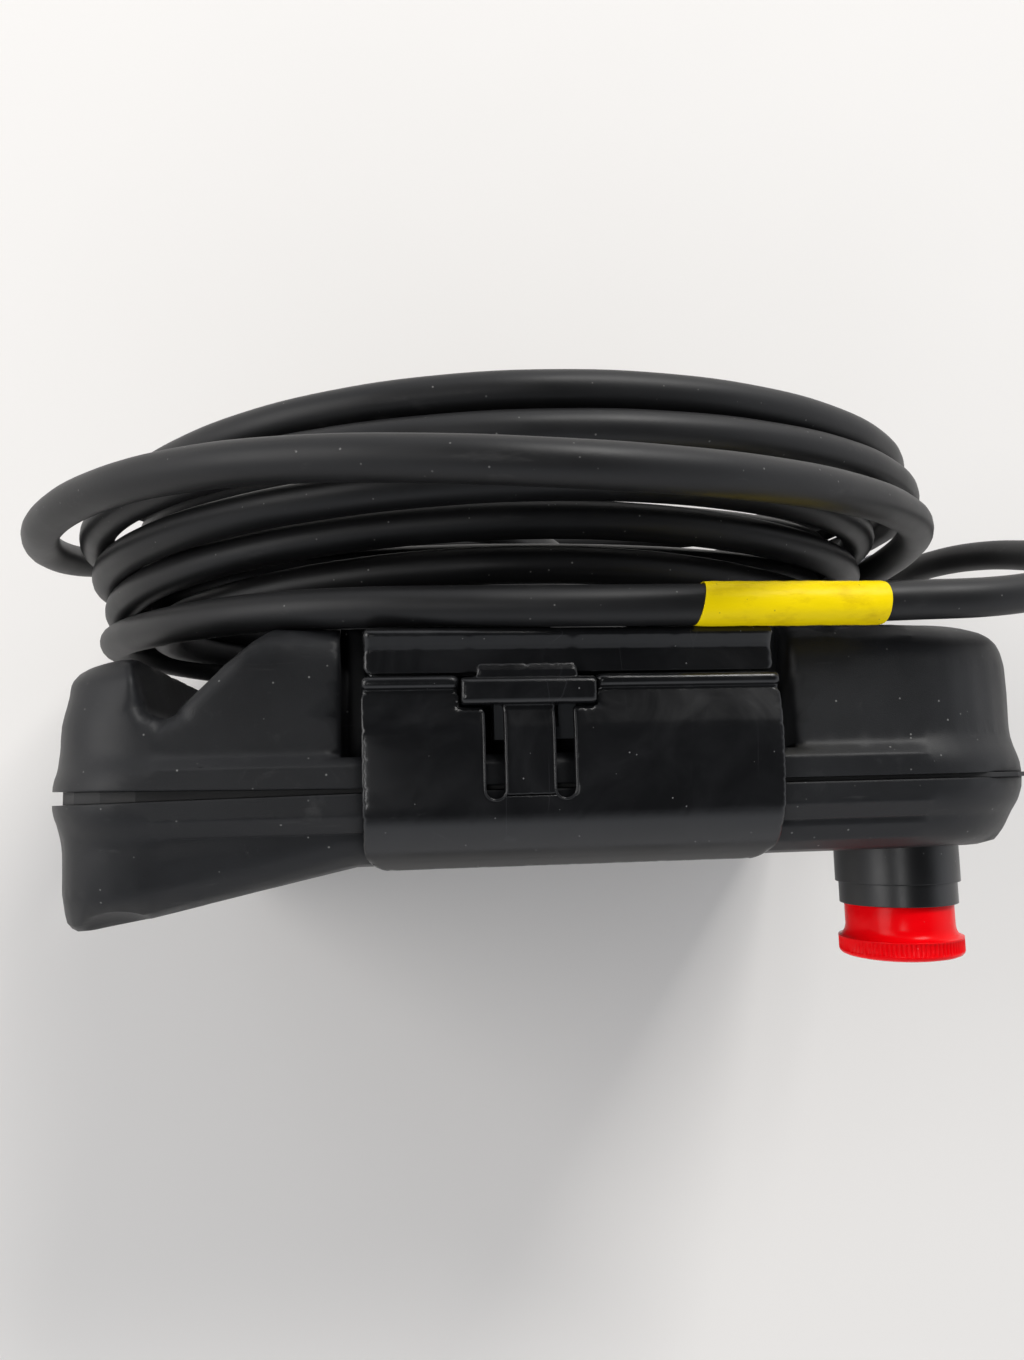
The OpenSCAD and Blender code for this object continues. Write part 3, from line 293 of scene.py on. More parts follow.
def moulded_skin(name, node, keep=(), posts=(), longest=0.0032, rounds=8, seam=True,
                 body="housing", finish="housing", sharp=38, folds=None, most=110000, shape=None):
    """A finer copy of a node, its flat facets eased into soft forms, and its crisp places kept."""
    def freedom(at):
        return room(at, keep, posts, seam)

    bm = bmesh.new()
    bm.from_mesh(nodes[node].data)
    bmesh.ops.remove_doubles(bm, verts=bm.verts, dist=SAME_PLACE)
    bmesh.ops.dissolve_limit(bm, angle_limit=FLAT_ANGLE, verts=bm.verts, edges=bm.edges)
    bmesh.ops.triangulate(bm, faces=bm.faces)
    if folds:
        mark_hidden(bm, folds)
    refine(bm, longest, freedom)
    hidden = {v.index for f in bm.faces if f.material_index for v in f.verts}
    mesh = bpy.data.meshes.new(name)
    bm.to_mesh(mesh)
    bm.free()
    at = np.empty(len(mesh.vertices) * 3)
    mesh.vertices.foreach_get("co", at)
    at = at.reshape(-1, 3)
    ends = np.empty(len(mesh.edges) * 2, dtype=np.int32)
    mesh.edges.foreach_get("vertices", ends)
    free = freedom(at)
    free[list(hidden)] = 0
    at = relax(at, ends.reshape(-1, 2), free, rounds)
    if shape:
        at = shape(at)
    mesh.vertices.foreach_set("co", at.ravel())
    mesh.materials.clear()
    mesh.polygons.foreach_set("material_index", [0] * len(mesh.polygons))
    if len(mesh.polygons) > most:
        mesh = thinned(mesh, most / len(mesh.polygons))
    finish_mesh(mesh, sharp).update()
    piece = add(name, mesh, body)
    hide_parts(node)
    return piece


# x and height of the case's screws, whose posts stay round
SCREWS = [(-78, 11), (-78, 219), (74, 223), (100.5, 11), (133.5, 70), (133.5, 148),
          (-132, 62), (-132, 178)]
POST_RADIUS = 6.5
GRIP_END = (-137, -122)      # x between which the grip's extra fullness fades out
STOP_END = (118, 136)        # and where that of the other end sets in


def fuller_rear(at):
    """Fills out the rear shell's two ends, where its walls stand steeper than the CAD's layers."""
    x, d, z = to_mm(at)
    near = np.min([np.hypot(x - px, z - pz) for px, pz in SCREWS], axis=0)
    clear = ease(near, 7, 13)
    grip = np.interp(d, (7, 11, 20, 28, 34), (0, 1.4, 2.4, 2.9, 4.2)) * (1 - ease(x, *GRIP_END))
    stop = np.interp(d, (7, 12, 24, 44), (0, 1.0, 1.8, 2.4)) * ease(x, *STOP_END)
    at[:, 0] += (stop - grip) * clear / 1000
    return at


def fuller_front(at):
    """The same for the grip's front."""
    x, d, _ = to_mm(at)
    grip = np.interp(-d, (7, 12, 25, 36), (0, 0.7, 1.8, 2.8)) * (1 - ease(x, *GRIP_END))
    at[:, 0] -= grip / 1000
    return at


# Boxes that stay crisp: from and to in x, depth and height, and how wide the change round each is
REAR_CRISP = [
    ((-63, 58), (8, 60), (212, 240), 3),         # bay under the cover
    ((2, 38), (26, 70), (112, 168), 2),          # boss of the cable gland
    ((-112, -84), (10, 36), (50, 186), 3),       # paddle's opening in the finger channel
]
FRONT_CRISP = [
    ((-63, 81), (-60, 0), (98, 222), 2),         # window
    ((-64, 66), (-60, 0), (79, 105), 2),         # row of keys under it
    ((78, 130), (-60, 0), (50, 166), 2),         # two columns of keys
    ((85, 132), (-60, 0), (168, 214), 2),        # emergency stop
    ((-142, -104), (-45, -24), (205, 238), 4),   # scoop at the top of the grip
]
rear_skin = moulded_skin("rear_skin", "rear_shell", REAR_CRISP,
                         [(x, z, POST_RADIUS) for x, z in SCREWS],
                         folds=REAR_FOLDS, shape=fuller_rear)
front_skin = moulded_skin("front_skin", "front_shell", FRONT_CRISP,
                          folds=FRONT_FOLDS, shape=fuller_front)

# The cover's outer line, as depth and height over the case's top edge
COVER_LINE = np.array([(-30, -24), (-21.9, -11), (-19.2, -6.4), (-13, -0.6), (-7.7, 2.6),
                       (0.2, 3.3), (15.6, 3.9), (25.6, 1.7), (34, -0.1)])


def cover_height(depth):
    """How high over the case's top edge the cover's outline runs at that depth."""
    return np.interp(depth, COVER_LINE[:, 0], COVER_LINE[:, 1])


def soft_bend(at):
    """Moves the cover's facets onto one smooth line, so that its slots and edges stay crisp."""
    _, d, _ = to_mm(at)
    reach = np.clip(1.6 + (15.6 - d) * 0.12, 1.6, 4.2)      # each bend is averaged this far round
    spread = np.linspace(-1, 1, 21)
    weight = 1 - spread ** 2
    smooth = sum(w * cover_height(d + t * reach) for t, w in zip(spread, weight)) / weight.sum()
    shift = (smooth - cover_height(d)) * (1 - ease(d, 20, 23))
    at[:, 2] += shift / 1000
    return at


# The glossy parts keep their crisp edges: little easing, and no thinning
GLOSSY = {"seam": False, "rounds": 2, "finish": "gloss", "most": 190000}
cover_skin = moulded_skin("cover_skin", "top_cover", longest=0.0017, body="cover", sharp=50,
                          shape=soft_bend, **GLOSSY)
latch_skin = moulded_skin("latch_skin", "cover_latch", longest=0.0012, body="latch", sharp=60,
                          **GLOSSY)
rail_skin = moulded_skin("rail_skin", "catch_rail", longest=0.0022, sharp=60, **GLOSSY)


# ---------- stop knob ----------

KNOB_AT = Vector((0.1088, SEAM, 0.191))
FLUTES = 84
FLUTE_DEPTH = 0.55           # millimetres
FLUTE_POINTS = 6             # points round each flute

# The knob's outline as radius, depth in front of the parting plane, and 1 where it is fluted
FLARE = [(16.6 + 2.4 * (1 - math.cos(a)), 46.4 + 3.7 * math.sin(a), 0)
         for a in (math.radians(k * 10) for k in range(1, 9))]
WELL = [(9.8, 49, 0), (9.8, 34.1, 0), (16.2, 34, 0), (16.6, 34.4, 0), (16.6, 46.4, 0)]
RIM = [(18.95, 50.1, 0), (19, 50.5, 0), (18.95, 50.8, 1), (18.95, 54.2, 1), (18.9, 54.5, 0),
       (18.75, 55, 0), (18.3, 55.5, 0), (17.4, 55.9, 0)]
CROWN = [(15, 56.45, 0), (11, 56.9, 0), (6, 57.2, 0), (2, 57.3, 0)]
TURNED_SHARP = 50            # degrees


def mesh_of(bm, name):
    """The finished mesh of a turned or wrapped piece."""
    bmesh.ops.recalc_face_normals(bm, faces=bm.faces)
    mesh = bpy.data.meshes.new(name)
    bm.to_mesh(mesh)
    bm.free()
    return finish_mesh(mesh, TURNED_SHARP)


def knob_mesh(name="stop_knob_cap"):
    """Turned knob with a knurled band round its rim and a well for the spring behind."""
    around = FLUTES * FLUTE_POINTS
    bm = bmesh.new()
    rings = []
    for radius, depth, cut in WELL + FLARE + RIM + CROWN:
        ring = []
        for k in range(around):
            a = 2 * math.pi * k / around
            r = (radius - FLUTE_DEPTH * cut * (0.5 + 0.5 * math.cos(a * FLUTES))) / 1000
            place = Vector((r * math.cos(a), -depth / 1000, r * math.sin(a)))
            ring.append(bm.verts.new(KNOB_AT + place))
        rings.append(ring)
    for ring, after in zip(rings, rings[1:]):
        for k in range(around):
            j = (k + 1) % around
            bm.faces.new((ring[k], ring[j], after[j], after[k]))
    for ring in (rings[0], rings[-1]):
        bm.faces.new(ring)
    return mesh_of(bm, name)


knob = add("stop_knob_cap", knob_mesh(), "stop_knob")
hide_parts("estop_knob")


# ---------- marker on the cable ----------

SLEEVE_AROUND, SLEEVE_ALONG = 96, 70    # points
SLEEVE_FROM, SLEEVE_TO = 32.5, 85.6     # x of its ends
SLEEVE_OUTER, SLEEVE_INNER = 6.12, 5.82
LAP = 0.16                   # how much thicker the film is where it overlaps
LAP_FROM, LAP_TO, LAP_FADE = 58, 84, 12     # points round the sleeve
TURNED_IN = 0.10             # how much the rim of each end is drawn in


def marker_mesh(name="marker_sleeve"):
    """A wrapped film sleeve: a lap along it, small creases and ends that aren't quite square."""
    bm = bmesh.new()
    axis = point(0, 48.9, 239)
    outer, inner = [], []
    for i in range(SLEEVE_ALONG + 1):
        f = i / SLEEVE_ALONG
        outer_ring, inner_ring = [], []
        for k in range(SLEEVE_AROUND):
            a = 2 * math.pi * k / SLEEVE_AROUND
            up, side = math.cos(a), math.sin(a)
            start = SLEEVE_FROM + 1.2 * side
            end = SLEEVE_TO - 0.4 * (1 - up) + 0.3 * side
            x = start + (end - start) * f
            crease = noise.noise(Vector((x * 0.35, up * 1.6, side * 1.6))) * 0.16
            crease += noise.noise(Vector((x * 1.1, up * 4, side * 4))) * 0.05
            fade = 1 if k < LAP_TO else max(0, 1 - (k - LAP_TO) / LAP_FADE)
            lap = LAP * max(0, min(1, (k - LAP_FROM) / 1.5)) * fade
            rim = TURNED_IN if i in (0, SLEEVE_ALONG) else 0
            for ring, r in ((outer_ring, SLEEVE_OUTER + crease * 0.8 + lap - rim),
                            (inner_ring, SLEEVE_INNER)):
                ring.append((axis.x + x / 1000, axis.y + r * side / 1000, axis.z + r * up / 1000))
        outer.append([bm.verts.new(place) for place in outer_ring])
        inner.append([bm.verts.new(place) for place in inner_ring])
    for k in range(SLEEVE_AROUND):
        j = (k + 1) % SLEEVE_AROUND
        for i in range(SLEEVE_ALONG):
            bm.faces.new((outer[i][k], outer[i][j], outer[i + 1][j], outer[i + 1][k]))
            bm.faces.new((inner[i][j], inner[i][k], inner[i + 1][k], inner[i + 1][j]))
        bm.faces.new((inner[0][k], inner[0][j], outer[0][j], outer[0][k]))
        bm.faces.new((outer[-1][k], outer[-1][j], inner[-1][j], inner[-1][k]))
    return mesh_of(bm, name)


marker = add("marker_sleeve", marker_mesh())
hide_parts("cord_label")


# ---------- trim round the latch's slots ----------

CASE_TOP = 235
SLOT_MIDDLES = (-24.75, -5.85)
SLOT_HALF = 2.95             # half the width of the lip's path
SLOT_END = -0.5              # depth where the round end of each slot begins
LIP_RADIUS = 0.00042         # metres
LIP_SUNK = 0.12
SLOT_DEPTHS = (1, 4, 8, 12, 15, 17.5, 20)   # along each straight side


def slot_trim(name="slot_trim"):
    """Thin raised lip that follows each slot of the cover."""
    data = bpy.data.curves.new(name, "CURVE")
    data.dimensions = "3D"
    data.bevel_depth = LIP_RADIUS
    data.bevel_resolution = 3
    data.use_fill_caps = True
    for middle in SLOT_MIDDLES:
        way = [(middle - SLOT_HALF, d) for d in reversed(SLOT_DEPTHS)]
        way += [(middle - SLOT_HALF * math.cos(a), SLOT_END - SLOT_HALF * math.sin(a))
                for a in (math.pi * k / 10 for k in range(11))]
        way += [(middle + SLOT_HALF, d) for d in SLOT_DEPTHS]
        spline = data.splines.new("POLY")
        spline.points.add(len(way) - 1)
        for spot, (x, d) in zip(spline.points, way):
            height = float(cover_height(d)) - LIP_SUNK
            spot.co = (*point(x, d, CASE_TOP + height), 1)
    lip = bpy.data.objects.new(name + "_line", data)
    mesh = bpy.data.meshes.new_from_object(lip)
    bpy.data.objects.remove(lip)
    bpy.data.curves.remove(data)
    mesh.name = name
    mesh.shade_smooth()
    return mesh


trim = add("slot_trim", slot_trim(), "cover")


# ---------- material tools ----------

class Graph:
    """Node graph of one material, with short calls for the nodes used here."""

    def __init__(self, name):
        self.material = bpy.data.materials.new(name)
        self.material.use_nodes = True
        self.tree = self.material.node_tree
        self.tree.nodes.clear()
        self.shader = self.node("ShaderNodeBsdfPrincipled")
        output = self.node("ShaderNodeOutputMaterial")
        self.link(self.shader.outputs["BSDF"], output.inputs["Surface"])
        self.place = self.node("ShaderNodeTexCoord").outputs["Object"]

    def node(self, kind, **settings):
        """A new node with its settings."""
        made = self.tree.nodes.new(kind)
        for name, value in settings.items():
            setattr(made, name, value)
        return made

    def link(self, source, target):
        self.tree.links.new(source, target)

    def put(self, target, value):
        """A constant is set on the socket, a socket is linked to it."""
        if isinstance(value, bpy.types.NodeSocket):
            self.link(value, target)
        elif isinstance(value, tuple) and len(value) == 3 and target.type == "RGBA":
            target.default_value = (*value, 1)
        else:
            target.default_value = value

    def scaled(self, scale):
        """Object coordinates stretched by a scale for each axis."""
        mapping = self.node("ShaderNodeMapping")
        self.link(self.place, mapping.inputs["Vector"])
        mapping.inputs["Scale"].default_value = scale
        return mapping.outputs["Vector"]

    def noise(self, scale, detail=3.0, rough=0.55, stretch=None, distortion=0.0):
        """Noise from 0 to 1, mostly near 0.5."""
        made = self.node("ShaderNodeTexNoise")
        self.link(self.scaled(stretch) if stretch else self.place, made.inputs["Vector"])
        made.inputs["Scale"].default_value = scale
        made.inputs["Detail"].default_value = detail
        made.inputs["Roughness"].default_value = rough
        made.inputs["Distortion"].default_value = distortion
        return made.outputs["Fac"]

    def cells(self, scale, stretch=None, feature="F1"):
        """Distance in a field of random cells."""
        made = self.node("ShaderNodeTexVoronoi", feature=feature)
        self.link(self.scaled(stretch) if stretch else self.place, made.inputs["Vector"])
        made.inputs["Scale"].default_value = scale
        return made.outputs["Distance"]

    def span(self, value, low, high, to_low=0.0, to_high=1.0):
        """The value's run from low to high, laid over another run and clamped to it."""
        made = self.node("ShaderNodeMapRange", clamp=True)
        self.put(made.inputs["Value"], value)
        made.inputs["From Min"].default_value = low
        made.inputs["From Max"].default_value = high
        made.inputs["To Min"].default_value = to_low
        made.inputs["To Max"].default_value = to_high
        return made.outputs["Result"]

    def math(self, operation, a, b):
        made = self.node("ShaderNodeMath", operation=operation)
        self.put(made.inputs[0], a)
        self.put(made.inputs[1], b)
        return made.outputs["Value"]

    def mix(self, factor, a, b):
        """Colour from a to b."""
        made = self.node("ShaderNodeMix", data_type="RGBA")
        self.put(made.inputs["Factor"], factor)
        self.put(made.inputs[6], a)
        self.put(made.inputs[7], b)
        return made.outputs[2]

    def bump(self, height, strength, distance, normal=None):
        made = self.node("ShaderNodeBump")
        self.put(made.inputs["Height"], height)
        made.inputs["Strength"].default_value = strength
        made.inputs["Distance"].default_value = distance
        if normal:
            self.link(normal, made.inputs["Normal"])
        return made.outputs["Normal"]

    def rounded(self, radius):
        """Normals as if every edge had that radius."""
        made = self.node("ShaderNodeBevel", samples=6)
        made.inputs["Radius"].default_value = radius
        return made.outputs["Normal"]

    def painted_gap_shade(self, distance=0.010):
        """Painted shade from ambient occlusion: 0 deep in a slot or gap, 1 in the open."""
        made = self.node("ShaderNodeAmbientOcclusion", samples=6)
        made.inputs["Distance"].default_value = distance
        return self.span(made.outputs["AO"], 0.35, 0.85)

    def facing(self, axis):
        """The surface normal's part along one axis."""
        geometry = self.node("ShaderNodeNewGeometry")
        split = self.node("ShaderNodeSeparateXYZ")
        self.link(geometry.outputs["Normal"], split.inputs["Vector"])
        return split.outputs[axis]

    def specks(self, scale, size, amount):
        """Dust: small round dots in a share of the cells."""
        dot = self.span(self.cells(scale), size, size * 0.45)
        chosen = self.node("ShaderNodeTexVoronoi", feature="F1")
        self.link(self.place, chosen.inputs["Vector"])
        chosen.inputs["Scale"].default_value = scale
        split = self.node("ShaderNodeSeparateColor")
        self.link(chosen.outputs["Color"], split.inputs["Color"])
        keep = self.span(split.outputs["Red"], 1 - amount, 1 - amount + 0.01)
        return self.math("MULTIPLY", dot, keep)

    def finish(self, color, roughness, normal=None, **sockets):
        """Wires the shader and returns the material."""
        self.put(self.shader.inputs["Base Color"], color)
        self.put(self.shader.inputs["Roughness"], roughness)
        if normal:
            self.link(normal, self.shader.inputs["Normal"])
        for name, value in sockets.items():
            self.put(self.shader.inputs[name.replace("_", " ")], value)
        return self.material


# ---------- materials ----------

def shell_plastic(name="shell_plastic", base=(0.0060, 0.0063, 0.0072)):
    """Charcoal moulded plastic: fine spark texture, hand-worn patches, scuffs and dust, with painted
    shade that dulls its sheen in slots and gaps.
    """
    g = Graph(name)
    grain = g.noise(3200, 2, 0.6)
    mottle = g.noise(38, 4, 0.6)
    scuff = g.span(g.noise(90, 5, 0.7, (1, 1, 0.25), 0.6), 0.60, 0.76)
    streak = g.span(g.noise(260, 3, 0.6, (0.12, 1, 1)), 0.66, 0.74)
    wear = g.math("MULTIPLY", scuff, g.span(g.noise(17, 2), 0.42, 0.62))
    dust = g.math("MAXIMUM", g.specks(420, 0.16, 0.10), g.specks(190, 0.055, 0.16))
    color = g.mix(g.span(mottle, 0.3, 0.7), base, tuple(c * 1.45 for c in base))
    color = g.mix(g.math("MULTIPLY", wear, 0.35), color, (0.060, 0.060, 0.060))
    color = g.mix(g.math("MULTIPLY", streak, 0.16), color, (0.075, 0.075, 0.075))
    color = g.mix(g.math("MULTIPLY", dust, 0.5), color, (0.30, 0.30, 0.29))
    rough = g.span(mottle, 0.25, 0.75, 0.40, 0.52)
    rough = g.math("ADD", rough, g.math("MULTIPLY", wear, 0.10))
    normal = g.bump(grain, 0.35, 0.00012, g.rounded(0.0009))
    # Painted shade: the specular level drops deep in slots and gaps, where shade falls
    spec_with_painted_shade = g.span(g.painted_gap_shade(), 0, 1, 0.04, 0.30)
    return g.finish(color, rough, normal, Specular_IOR_Level=spec_with_painted_shade)


def gloss_plastic(name="gloss_plastic", base=(0.0052, 0.0053, 0.0058)):
    """Glossy black moulding with finger smears, hairline scratches and a little dust."""
    g = Graph(name)
    smear = g.noise(45, 4, 0.6, None, 0.8)
    ripple = g.noise(160, 2, 0.5)
    hair = g.span(g.cells(55, (1, 0.10, 1), "DISTANCE_TO_EDGE"), 0.006, 0.0)
    hair = g.math("MULTIPLY", hair, g.span(g.noise(33, 2), 0.5, 0.62))
    dust = g.math("MAXIMUM", g.specks(520, 0.15, 0.07), g.specks(230, 0.06, 0.12))
    color = g.mix(g.span(smear, 0.4, 0.7), base, tuple(c * 1.7 for c in base))
    color = g.mix(g.math("MULTIPLY", dust, 0.45), color, (0.30, 0.30, 0.30))
    color = g.mix(g.math("MULTIPLY", hair, 0.10), color, (0.10, 0.10, 0.11))
    rough = g.span(smear, 0.3, 0.7, 0.12, 0.27)
    rough = g.math("ADD", rough, g.math("MULTIPLY", dust, 0.3))
    normal = g.bump(ripple, 0.10, 0.00025, g.rounded(0.0006))
    return g.finish(color, rough, normal, Specular_IOR_Level=0.44)


def jacket_rubber(name="jacket_rubber"):
    """Cable jacket: satin black, powdery patches along it and dust on its upper side."""
    g = Graph(name)
    powder = g.noise(28, 5, 0.62)
    fine = g.noise(900, 3, 0.6)
    scrape = g.span(g.noise(150, 4, 0.7, (0.2, 1, 0.6)), 0.62, 0.72)
    dust = g.math("MAXIMUM", g.specks(480, 0.17, 0.10), g.specks(210, 0.07, 0.20))
    up = g.span(g.facing("Z"), 0.2, 1)
    color = g.mix(g.span(powder, 0.3, 0.72), (0.0046, 0.0046, 0.0050), (0.0084, 0.0084, 0.0090))
    color = g.mix(g.math("MULTIPLY", scrape, 0.22), color, (0.055, 0.054, 0.053))
    settled = g.math("MULTIPLY", dust, up)
    color = g.mix(g.math("MULTIPLY", settled, 0.55), color, (0.27, 0.265, 0.255))
    rough = g.span(powder, 0.25, 0.75, 0.40, 0.54)
    normal = g.bump(fine, 0.22, 0.00010)
    return g.finish(color, rough, normal, Specular_IOR_Level=0.34)


def soft_rubber(name, base):
    """Matt rubber with a fine grain and a little dust."""
    g = Graph(name)
    fine = g.noise(1500, 3, 0.6)
    patch = g.noise(60, 3)
    color = g.mix(g.span(patch, 0.3, 0.7), base, tuple(c * 1.35 for c in base))
    color = g.mix(g.math("MULTIPLY", g.specks(450, 0.15, 0.08), 0.4), color, (0.3, 0.3, 0.29))
    normal = g.bump(fine, 0.3, 0.0001, g.rounded(0.0004))
    return g.finish(color, g.span(patch, 0.3, 0.7, 0.56, 0.68), normal)


def stop_red(name="stop_red"):
    """Glossy red moulding of the stop knob."""
    g = Graph(name)
    cloud = g.noise(70, 3)
    dust = g.specks(600, 0.15, 0.06)
    color = g.mix(g.span(cloud, 0.3, 0.7), (0.80, 0.0005, 0.0030), (0.88, 0.0008, 0.0040))
    color = g.mix(g.math("MULTIPLY", dust, 0.3), color, (0.8, 0.5, 0.48))
    normal = g.bump(g.noise(300, 2), 0.06, 0.0002, g.rounded(0.0005))
    rough = g.span(cloud, 0.3, 0.7, 0.17, 0.25)
    return g.finish(color, rough, normal, Specular_IOR_Level=0.09)


def metal(name, base, rough, stretch=(1, 1, 14)):
    """Plated metal, brushed along one axis, with dull spots."""
    g = Graph(name)
    brushed = g.noise(420, 3, 0.6, stretch)
    cloud = g.noise(60, 3)
    color = g.mix(g.span(cloud, 0.3, 0.7), base, tuple(c * 0.8 for c in base))
    spot = g.span(g.noise(240, 4, 0.7), 0.64, 0.74)
    color = g.mix(g.math("MULTIPLY", spot, 0.3), color, tuple(c * 0.45 for c in base))
    normal = g.bump(brushed, 0.15, 0.00015, g.rounded(0.0003))
    rough = g.span(brushed, 0.3, 0.7, rough - 0.08, rough + 0.1)
    return g.finish(color, rough, normal, Metallic=1.0)


def label_film(name="label_film"):
    """Yellow marker film, bare, with smudges and small creases."""
    g = Graph(name)
    smudge = g.noise(130, 5, 0.65, (0.5, 1, 1))
    crease = g.noise(95, 3, 0.55, (0.35, 1, 1), 0.6)
    color = g.mix(g.span(smudge, 0.52, 0.74), (0.96, 0.72, 0.0005), (0.72, 0.50, 0.001))
    color = g.mix(g.math("MULTIPLY", g.specks(520, 0.2, 0.10), 0.6), color, (0.13, 0.10, 0.03))
    normal = g.bump(crease, 0.5, 0.0006, g.rounded(0.0002))
    rough = g.span(smudge, 0.3, 0.7, 0.36, 0.50)
    return g.finish(color, rough, normal, Specular_IOR_Level=0.12)


def dark_window(name="dark_window"):
    """Smooth dark pane with faint smears."""
    g = Graph(name)
    smear = g.noise(35, 4, 0.6, None, 1.0)
    color = g.mix(g.span(smear, 0.3, 0.7), (0.006, 0.007, 0.009), (0.012, 0.013, 0.016))
    normal = g.bump(g.noise(90, 1), 0.03, 0.0002, g.rounded(0.0005))
    return g.finish(color, g.span(smear, 0.4, 0.7, 0.05, 0.14), normal)


def circuit_board(name="circuit_board"):
    """Green laminate with copper runs under its varnish."""
    g = Graph(name)
    runs = g.span(g.cells(230, (1, 1, 1), "DISTANCE_TO_EDGE"), 0.05, 0.03)
    weave = g.noise(1800, 2)
    color = g.mix(g.span(weave, 0.35, 0.65), (0.010, 0.070, 0.028), (0.016, 0.095, 0.040))
    color = g.mix(g.math("MULTIPLY", runs, 0.5), color, (0.030, 0.160, 0.060))
    normal = g.bump(runs, 0.3, 0.00008, g.rounded(0.0002))
    return g.finish(color, g.span(weave, 0.3, 0.7, 0.28, 0.38), normal)


def moulded(name, base, rough, grain=1500):
    """Plain moulded plastic."""
    g = Graph(name)
    fine = g.noise(grain, 3, 0.6)
    cloud = g.noise(55, 3)
    color = g.mix(g.span(cloud, 0.3, 0.7), base, tuple(c * 0.84 for c in base))
    color = g.mix(g.math("MULTIPLY", g.specks(480, 0.15, 0.06), 0.3), color, (0.35, 0.35, 0.34))
    normal = g.bump(fine, 0.2, 0.0001, g.rounded(0.0004))
    return g.finish(color, g.span(cloud, 0.3, 0.7, rough - 0.06, rough + 0.06), normal)


def plain_floor(name="plain_floor"):
    """Matt pale bench top."""
    g = Graph(name)
    cloud = g.noise(6, 2)
    color = g.mix(g.span(cloud, 0.3, 0.7), (0.83, 0.81, 0.785), (0.84, 0.82, 0.795))
    return g.finish(color, 0.75)


looks = {
    "shell": shell_plastic(),
    "gloss": gloss_plastic(),
    "jacket": jacket_rubber(),
    "rubber": soft_rubber("black_rubber", (0.012, 0.012, 0.0125)),
    "keys": soft_rubber("key_rubber", (0.115, 0.120, 0.130)),
    "mat": soft_rubber("mat_rubber", (0.050, 0.050, 0.052)),
    "red": stop_red(),
    "collar": moulded("collar_black", (0.0085, 0.0085, 0.0090), 0.34, 900),
    "steel": metal("zinc_steel", (0.52, 0.52, 0.53), 0.32),
    "plug": metal("plug_nickel", (0.44, 0.44, 0.45), 0.30, (1, 1, 0.1)),
    "label": label_film(),
    "window": dark_window(),
    "board": circuit_board(),
    "module": moulded("module_grey", (0.055, 0.060, 0.068), 0.5),
    "cream": moulded("switch_cream", (0.62, 0.61, 0.55), 0.45),
}

NODE_LOOKS = {
    "rubber": ["shell_gasket", "strain_relief"],
    "mat": ["keypad_mat"],
    "keys": [n for n in nodes if n.startswith(("soft_key_", "jog_key_"))],
    "collar": ["estop_collar", "estop_bezel", "estop_plunger", "estop_nut"],
    "steel": ["case_screws", "display_screws", "keypad_screws", "board_screws", "estop_spring",
              "enable_pin", "switch_bracket", "rail_screws"],
    "plug": ["plug_shell", "plug_ring", "plug_clamp", "gland_body", "gland_nut"],
    "window": ["display_window"],
    "board": ["keypad_board", "main_board"],
    "module": ["display_module", "enable_paddle", "plug_insert", "service_port"],
    "cream": ["estop_contact_block", "enable_switch", "enable_plunger"],
}
PIECE_LOOKS = {
    "jacket": [cable],
    "shell": [rear_skin, front_skin],
    "gloss": [cover_skin, latch_skin, rail_skin, trim],
    "red": [knob],
    "label": [marker],
}


def wear(data, look):
    """Gives a mesh or curve that look in place of any other."""
    data.materials.clear()
    data.materials.append(looks[look])


for look, names in NODE_LOOKS.items():
    for name in names:
        wear(nodes[name].data, look)
for look, pieces in PIECE_LOOKS.items():
    for piece in pieces:
        wear(piece.data, look)
dressed = {name for names in NODE_LOOKS.values() for name in names}
bare = sorted(n for n, o in nodes.items() if n not in dressed and not o.hide_render)
if bare:
    raise SystemExit("no look for " + ", ".join(bare))


# ---------- the cable's first point, not kept ---

tuple(WAY[0])


# ---------- floor and light ----------

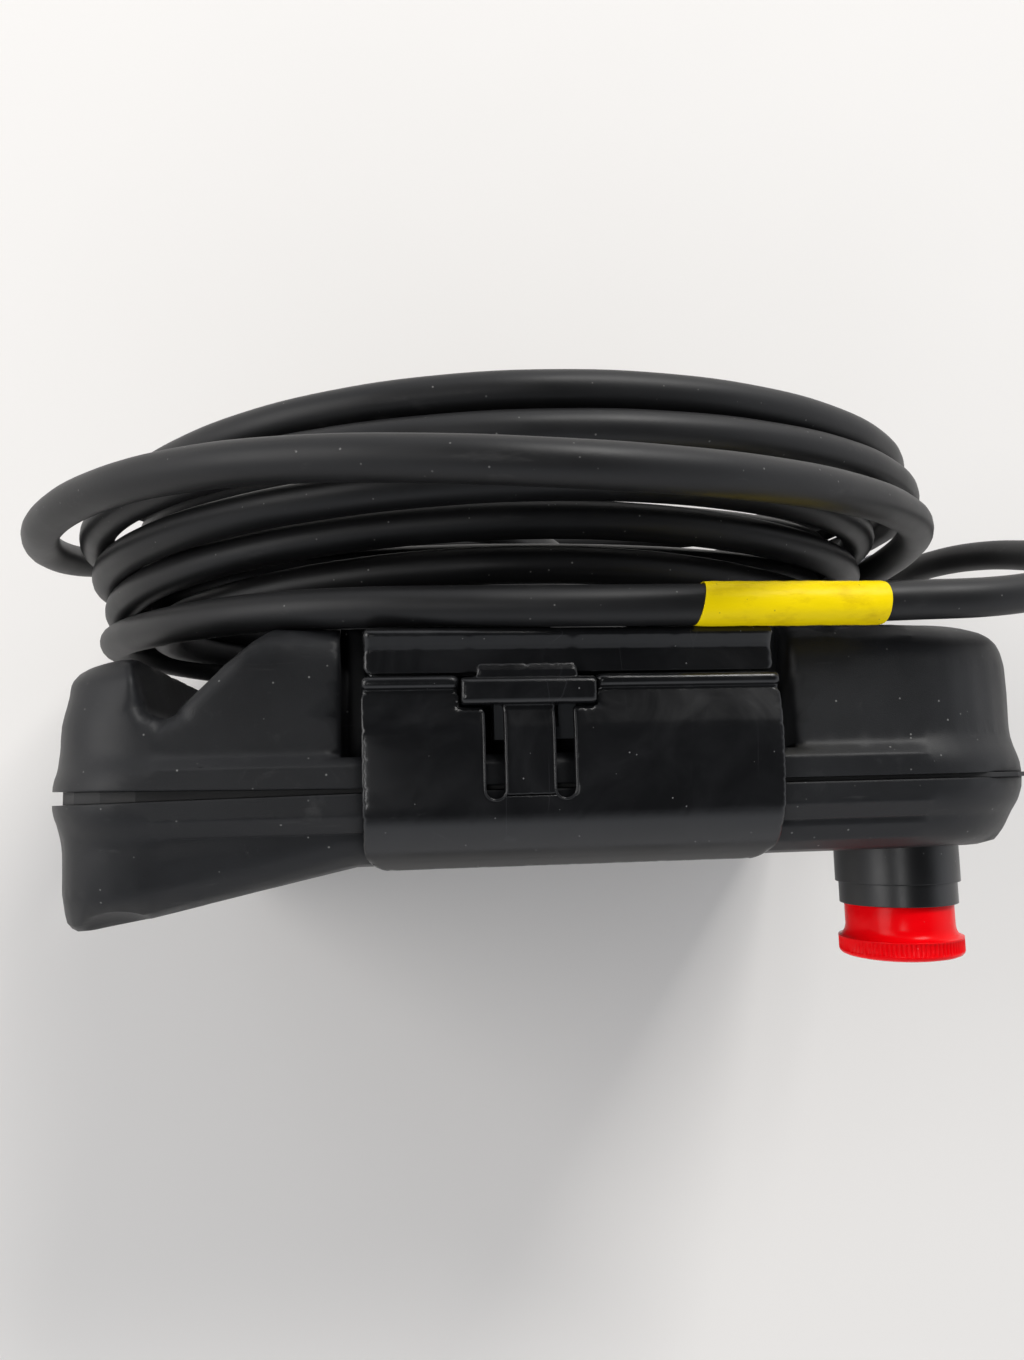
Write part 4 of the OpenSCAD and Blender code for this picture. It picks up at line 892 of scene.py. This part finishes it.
FLOOR_HALF = 3               # metres
floor_mesh = bpy.data.meshes.new("floor")
floor_mesh.from_pydata([(x * FLOOR_HALF, y * FLOOR_HALF, 0)
                        for x, y in ((-1, -1), (1, -1), (1, 1), (-1, 1))], [], [(0, 1, 2, 3)])
floor = bpy.data.objects.new("floor", floor_mesh)
bpy.context.scene.collection.objects.link(floor)
floor.data.materials.append(plain_floor())


def room_light(name="room"):
    """World light, dim and cooler overhead and brighter all round."""
    world = bpy.data.worlds.new(name)
    world.use_nodes = True
    tree = world.node_tree
    background = tree.nodes["Background"]
    sky = tree.nodes.new("ShaderNodeTexCoord").outputs["Generated"]
    up = tree.nodes.new("ShaderNodeSeparateXYZ")
    tree.links.new(sky, up.inputs["Vector"])
    fade = tree.nodes.new("ShaderNodeMapRange")
    tree.links.new(up.outputs["Z"], fade.inputs["Value"])
    fade.inputs["From Min"].default_value = 0.50
    fade.inputs["From Max"].default_value = 0.82
    fade.inputs["To Min"].default_value = 1.05
    fade.inputs["To Max"].default_value = 0.06
    tree.links.new(fade.outputs["Result"], background.inputs["Strength"])
    tint = tree.nodes.new("ShaderNodeMix")
    tint.data_type = "RGBA"
    tree.links.new(up.outputs["Z"], tint.inputs["Factor"])
    tint.inputs[6].default_value = (0.97, 0.97, 1.0, 1)
    tint.inputs[7].default_value = (0.88, 0.93, 1.0, 1)
    tree.links.new(tint.outputs[2], background.inputs["Color"])
    return world


bpy.context.scene.world = room_light()


def lamp(name, place, target, size, power, color=(1, 1, 1)):
    """An area lamp that faces its target."""
    data = bpy.data.lights.new(name, "AREA")
    data.shape = "RECTANGLE"
    data.size, data.size_y = size
    data.energy = power
    data.color = color
    light = bpy.data.objects.new(name, data)
    light.location = place
    light.rotation_euler = (Vector(target) - Vector(place)).to_track_quat("-Z", "Y").to_euler()
    bpy.context.scene.collection.objects.link(light)


lamp("ceiling", (1.45, 3.1, 2.75), (0, 0, 0.1), (1.5, 1.3), 112, (1.0, 0.985, 0.96))
lamp("window", (-1.9, 0.5, 1.5), (0, 0, 0.1), (1.6, 1.0), 21, (1.0, 0.975, 0.95))
lamp("overhead", (-0.52, -0.22, 2.0), (0, 0, 0.2), (0.35, 0.35), 3.2)

bpy.context.scene.view_settings.view_transform = "Standard"
